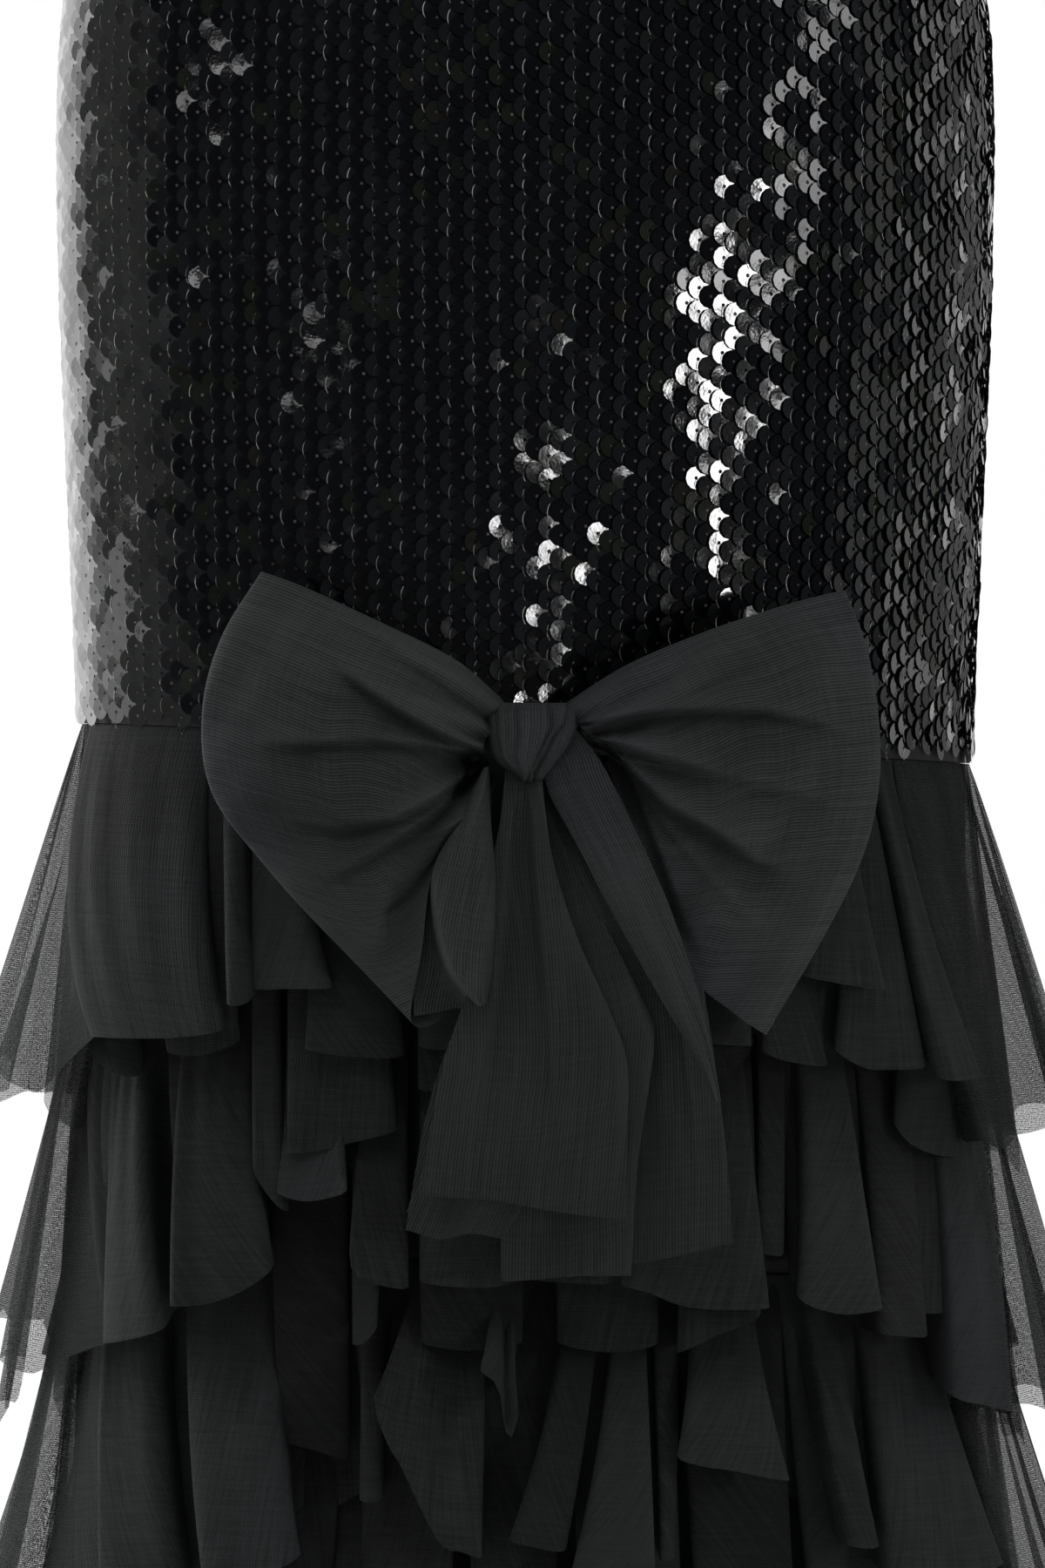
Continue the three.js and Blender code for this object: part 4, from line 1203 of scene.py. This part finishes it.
# Each layer of a tail: rows of height, left edge, right edge and how far ahead; how far its hem is lifted,
# from its left end to its right; how deep its waves are; and its creases.
bowTails = {
    "bow_tail_left": [
        {
            "rows": [(-580, -7, 5, 22), (-600, -9, 7, 31), (-617, -12, 10, 34), (-642, -14, 18, 38.5),
                     (-669, -23.5, 30, 43), (-685, -28.5, 35, 47.5), (-709, -33, 35, 51),
                     (-737, -38, 34.5, 52)],
            "hem": (6, 5, 1, -2),
            "wave": 1.3,
            "creases": [
                ([(34.5, -760), (35, -712), (34, -684), (27.5, -665), (18, -643), (9.5, -615),
                  (4, -588)], 3.4, -4.2, 4.2),
                ([(-20, -736), (-14, -690), (-8, -640), (-4, -600)], 6, 1.6, 0.8),
                ([(12, -738), (9, -690), (4, -640), (1, -598)], 7, 1.0, 1.0),
            ],
        },
        {
            "rows": [(-600, -8, 2, 26), (-642, -13, 8, 35), (-685, -29.5, 20, 43), (-709, -36, 16, 47),
                     (-745, -42, -8, 46)],
            "hem": (2, -1, 1, -1),
            "wave": 1.4,
            "creases": [([(-30, -745), (-24, -700), (-10, -640)], 4, 2.0, 0.6)],
        },
        {
            "rows": [(-600, -8, 2, 25), (-642, -13, 8, 33), (-685, -29, 20, 40), (-709, -34.5, 16, 44),
                     (-740, -41.5, -8, 43)],
            "hem": (3, 0, -2, -3),
            "wave": 1.1,
            "creases": [([(-26, -742), (-20, -700), (-8, -640)], 5, 1.4, 0.6)],
        },
        {
            "rows": [(-578, -2, 6, 18), (-601, -4, 9.5, 24), (-634, -6, 26, 32), (-666, -8, 42, 40),
                     (-676, -9, 44.5, 41), (-691, -9, 43, 43), (-707, -9, 40.5, 43), (-724, -9, 38.5, 43),
                     (-760, -8.7, 36.5, 42)],
            "hem": (-1, 0, 1, 1),
            "wave": 1.4,
            "creases": [
                ([(37.5, -780), (40, -712), (44, -680), (34, -650), (20, -622), (9, -600)], 3.4, -2.6, 2.6),
                ([(6, -760), (8, -720), (8, -690)], 5, 1.6, 0.6),
            ],
        },
    ],
    "bow_tail_right": [
        {
            "rows": [(-580, 4, 20, 18), (-600, 9, 34, 25), (-624, 20, 45, 33), (-655, 35, 60, 37),
                     (-667, 35, 63, 38), (-691, 34, 66.5, 39), (-720, 32, 70, 39.5), (-752, 30, 72, 39)],
            "hem": (-4, -2, 1, 4),
            "wave": 1.4,
            "creases": [
                ([(58, -748), (57, -700), (52, -667), (40, -630), (24, -595)], 5, 1.6, 1.0),
                ([(70, -745), (68, -715), (65, -690), (60, -664)], 2.4, -1.2, 1.2),
            ],
        },
        {
            "rows": [(-566, 3, 15, 17), (-577, 5, 24, 24), (-591, 8, 32, 30), (-608, 17, 40, 36),
                     (-631, 29, 50, 42), (-658, 44, 59, 47), (-684, 59, 65, 50), (-698, 65, 67.5, 50)],
            "hem": (0, 0, 0, 0),
            "wave": 0.9,
            "creases": [([(60, -684), (46, -650), (31, -615), (16, -585)], 4.2, 0.6, 0.9)],
        },
    ],
}
bowKnot = {
    # height, left edge, right edge, how far its face stands ahead
    "rows": [(-559.5, -11, 15.5, 24), (-562.5, -14.2, 18.2, 29), (-568, -13.8, 18, 32),
             (-574.5, -12.8, 15.4, 33.5), (-580, -10.6, 12, 33), (-585.5, -4, 8, 31), (-591, 1.6, 3.8, 27)],
    "back": 11,
    "creases": [
        ([(-10, -548), (-9.8, -563), (-9.9, -571), (-8.2, -579), (-2.7, -585)], 1.5, 2.4, 1.2),
        ([(8, -548), (7.2, -562), (8, -568), (4.4, -575.5), (1.6, -582), (-0.2, -587)], 1.7, 3.2, 1.6),
        ([(15, -550), (14.1, -562), (12.4, -566.6), (8.6, -571.5), (5.7, -577.3), (2.2, -584),
          (2.2, -589)], 1.6, 2.8, 1.4),
        ([(-2, -548), (-2.7, -563), (-2, -571), (-3.4, -578.5), (-1.2, -585)], 1.8, 1.6, 0.8),
        ([(21, -556), (17.4, -568), (14, -575.5), (8.6, -583), (3.6, -589.5)], 1.5, 1.8, 1.0),
    ],
}


def nearLine(line, x, z):
    # how far each point is from a line, above nought on its upper side, and how far along the line it is
    line = np.array(line, float)
    lengths = lengthsAlong(line)
    flip = np.sign(line[-1, 0] - line[0, 0]) or 1
    best, share, side = np.full(x.shape, 1e9), np.zeros(x.shape), np.zeros(x.shape)
    for n, ((ax, az), (bx, bz)) in enumerate(zip(line[:-1], line[1:])):
        dx, dz = bx - ax, bz - az
        t = np.clip(((x - ax) * dx + (z - az) * dz) / (dx * dx + dz * dz), 0, 1)
        far = np.hypot(x - ax - t * dx, z - az - t * dz)
        nearer = far < best
        best = np.where(nearer, far, best)
        share = np.where(nearer, (lengths[n] + t * (lengths[n + 1] - lengths[n])) / lengths[-1], share)
        side = np.where(nearer, np.sign((dx * (z - az) - dz * (x - ax)) * flip), side)
    return best * side, share


def crease(grid, creases, amount=1.0):
    # presses the creases into the grid, and gives back how far each point has sunk
    x, z = grid[..., 0].copy(), grid[..., 2].copy()
    sunk = 0 * x
    for line, wide, deep, proud in creases:
        off, share = nearLine(line, x, z)
        upper = ease(off / min(bow["creaseEdge"], wide * 0.8) + 0.5)
        # a crease runs out towards its outer end
        size = np.exp(-np.abs(off) / wide) * ease(share / 0.4) * amount
        sunk += (deep - (deep + proud) * upper) * size
    grid[..., 1] += sunk
    return sunk


def soften(grid, size, seed):
    # the small unevenness of stiff net that has been folded by hand
    x, z = grid[..., 0], grid[..., 2]
    wave = np.sin(x * 0.16 + z * 0.05 + seed) * np.sin(z * 0.13 - x * 0.04 + seed * 2)
    grid[..., 1] += size * (wave + 0.4 * np.sin(x * 0.31 - z * 0.22 + seed))
    return grid


def netGrid(net, rows, stations):
    table = np.array(net, float)
    lines = splineAt(table, np.linspace(0, len(table) - 1, rows)).transpose(1, 0, 2)
    points = splineAt(lines, np.linspace(0, len(lines) - 1, stations)).transpose(1, 0, 2)
    return np.stack([points[..., 0], seamFront - points[..., 2], points[..., 1]], -1)


def edgeRows(table, rows):
    # the height, both edges and how far ahead, for each row of a tail or of the knot
    table = np.array(table, float)
    line = splineAt(table, np.linspace(0, len(table) - 1, rows))
    return (line[:, n : n + 1] for n in range(4))


def loopGrid(loop):
    rows, stations = bow["loopPoints"]
    grid = netGrid(loop["net"], rows, stations)
    share = np.linspace(0, 1, stations)[None, :] + np.zeros((rows, 1))
    across = np.linspace(0, 1, rows)[:, None]
    front = ease((0.60 - share) / 0.12)
    fromRoot = np.hypot(grid[..., 0] - loop["root"][0], grid[..., 2] - loop["root"][1])
    fan = np.cos(math.tau * loop["pleats"] * across + 1.2 * np.sin(5 * across))
    spread = np.exp(-((fromRoot / bow["fanReach"]) ** 1.5)) * np.minimum(fromRoot / bow["fanFrom"], 1)
    fan = bow["fanDeep"] * fan * spread
    grid[..., 1] += fan * (front * 2 - 1)
    wider = [(line, wide * bow["creaseWider"], deep, proud) for line, wide, deep, proud in loop["creases"]]
    sunk = crease(grid, wider, front * bow["creaseDeeper"])
    return soften(grid, bow["loopSoft"], loop["seed"]), sunk + fan * front


def lobeGrid():
    grid = netGrid(loopLobe["net"], *bow["lobePoints"]).transpose(1, 0, 2).copy()
    return grid, crease(grid, loopLobe["creases"])


def tailGrid(layer, seed):
    rows, columns = bow["tailPoints"]
    z, left, right, ahead = edgeRows(layer["rows"], rows)
    across = np.linspace(0, 1, columns)[None, :]
    level = np.linspace(0, 1, rows)[:, None]
    hem = splineAt(layer["hem"], np.linspace(0, 3, columns))[None, :]
    x = left + (right - left) * across
    wave = layer["wave"] * np.cos(math.tau * 1.35 * across + seed) * ease(level * 1.6)
    # its two edges turn back a little
    y = seamFront - ahead - wave + 2.0 * np.abs(2 * across - 1) ** 5 * ease(level * 2)
    grid = np.stack([x, y + 0 * x, z + hem * level**6 + 0 * x], -1)
    sunk = crease(grid, layer["creases"])
    return soften(grid, bow["tailSoft"], seed), sunk


def knotGrid():
    rows, stations = bow["knotPoints"]
    z, left, right, ahead = edgeRows(bowKnot["rows"], rows)
    turn = np.linspace(-math.pi, math.pi, stations + 1)[:-1][None, :]
    level = np.linspace(0, 1, rows)[:, None]
    drawnIn = np.sqrt(np.clip(1 - (2 * level - 1) ** 6, 0.02, 1))
    x = (left + right) / 2 + (right - left) / 2 * np.sin(turn)
    middle = bow["knotMiddle"]
    depth = np.where(np.cos(turn) > 0, ahead - middle, middle - bowKnot["back"]) * drawnIn
    y = seamFront - middle - depth * np.sign(np.cos(turn)) * np.abs(np.cos(turn)) ** 0.75
    grid = np.stack([x, y, z + 0 * x], -1)
    return grid, crease(grid, bowKnot["creases"], ease(np.cos(turn) / 0.4))


def makeBow():
    # the bow's net is folded over several times, so little shows through. The loops and knot get a lighter
    # copy of the net as painted light from above, and the tails a darker one as painted shade
    loopNetPaintedLit = netShader("bowNetPaintedLit", inky(0.0175), inky(0.064), 0.8, 0.30)
    tailNetPaintedShade = netShader("bowNetPaintedShade", inky(0.011), inky(0.042), 0.8, 0.28)
    stripNetPaintedLit = netShader("bowNetStripPaintedLit", inky(0.0165), inky(0.062), 0.8, 0.28)

    def piece(name, layers, material, held, ring=False):
        # each layer is its points, how far they have sunk and their place on the cloth
        cloth = clothMesh(name + "_cloth", [(grid, place, ring) for grid, _, place in layers], material)
        keepLook(cloth, "sunk", np.concatenate([sunk.ravel() for _, sunk, _ in layers]))
        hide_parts(name)
        return cloth

    for name, loop in bowLoops.items():
        grid, sunk = loopGrid(loop)
        layers = [(grid, sunk, placeFor(grid)[..., ::-1])]
        if name == "bow_loop_left":
            # turned round, so that its faces point outwards, and its inner fold beside it
            grid, sunk = grid[:, ::-1], sunk[:, ::-1]
            inner, innerSunk = lobeGrid()
            layers = [(grid, sunk, placeFor(grid)[..., ::-1]), (inner, innerSunk, placeFor(inner, True))]
        piece(name, layers, loopNetPaintedLit, "folded")
    for name, layers in bowTails.items():
        grids = [tailGrid(layer, 1.7 * n + bow["tailSeeds"][name]) for n, layer in enumerate(layers)]
        cloth = piece(name, [(grid, sunk, placeFor(grid, True)) for grid, sunk in grids], tailNetPaintedShade, "hung")
        if name == "bow_tail_right":
            # the narrow layer in front is folded once more, and gets a lighter copy of the net, as painted
            # light
            cloth.data.materials.append(stripNetPaintedLit)
            last = len(cloth.data.polygons) // len(layers) * (len(layers) - 1)
            for face in cloth.data.polygons[last:]:
                face.material_index = 1
    grid, sunk = knotGrid()
    piece("bow_knot", [(grid, sunk, placeFor(grid))], loopNetPaintedLit, "folded", ring=True)
    print("bow tied")


makeBow()


# the zip at the centre back
def tapeCloth():
    s = newShader("zipTape")
    place = s.objectPlace()
    x, _, z = s.parts(place)
    weave = x.waves(0.0008) * z.waves(0.0012)
    shade = s.smoothstep(weave * 0.3 + s.noise(place, 260.0, 3.0), 0.2, 0.9)
    colour = s.blend(shade, inky(0.006), inky(0.019))
    return s.finish({"Base Color": colour, "Roughness": 0.8, "Normal": s.bump(0.4, 0.0002, weave)})


def blackLacquer():
    # lacquer over metal, worn a little lighter in places
    s = newShader("zipLacquer")
    place = s.objectPlace()
    rubbed = s.smoothstep(s.noise(place, 420.0, 4.0, 0.6), 0.55, 0.78)
    grain = s.noise(place, 2600.0, 2.0)
    colour = s.blend(rubbed, grey(0.018), grey(0.055))
    rough = grain * 0.1 + rubbed * 0.15 + 0.2
    finish = {"Base Color": colour, "Roughness": rough, "Metallic": rubbed * 0.5 + 0.3}
    return s.finish({**finish, "Normal": s.bump(0.08, 0.0001, grain)})


lacquer = blackLacquer()
for name, finish in {"zip_tape": tapeCloth(), "zip_slider": lacquer, "zip_pull": lacquer}.items():
    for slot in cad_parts[name].material_slots:
        slot.material = finish
print("zip finished")
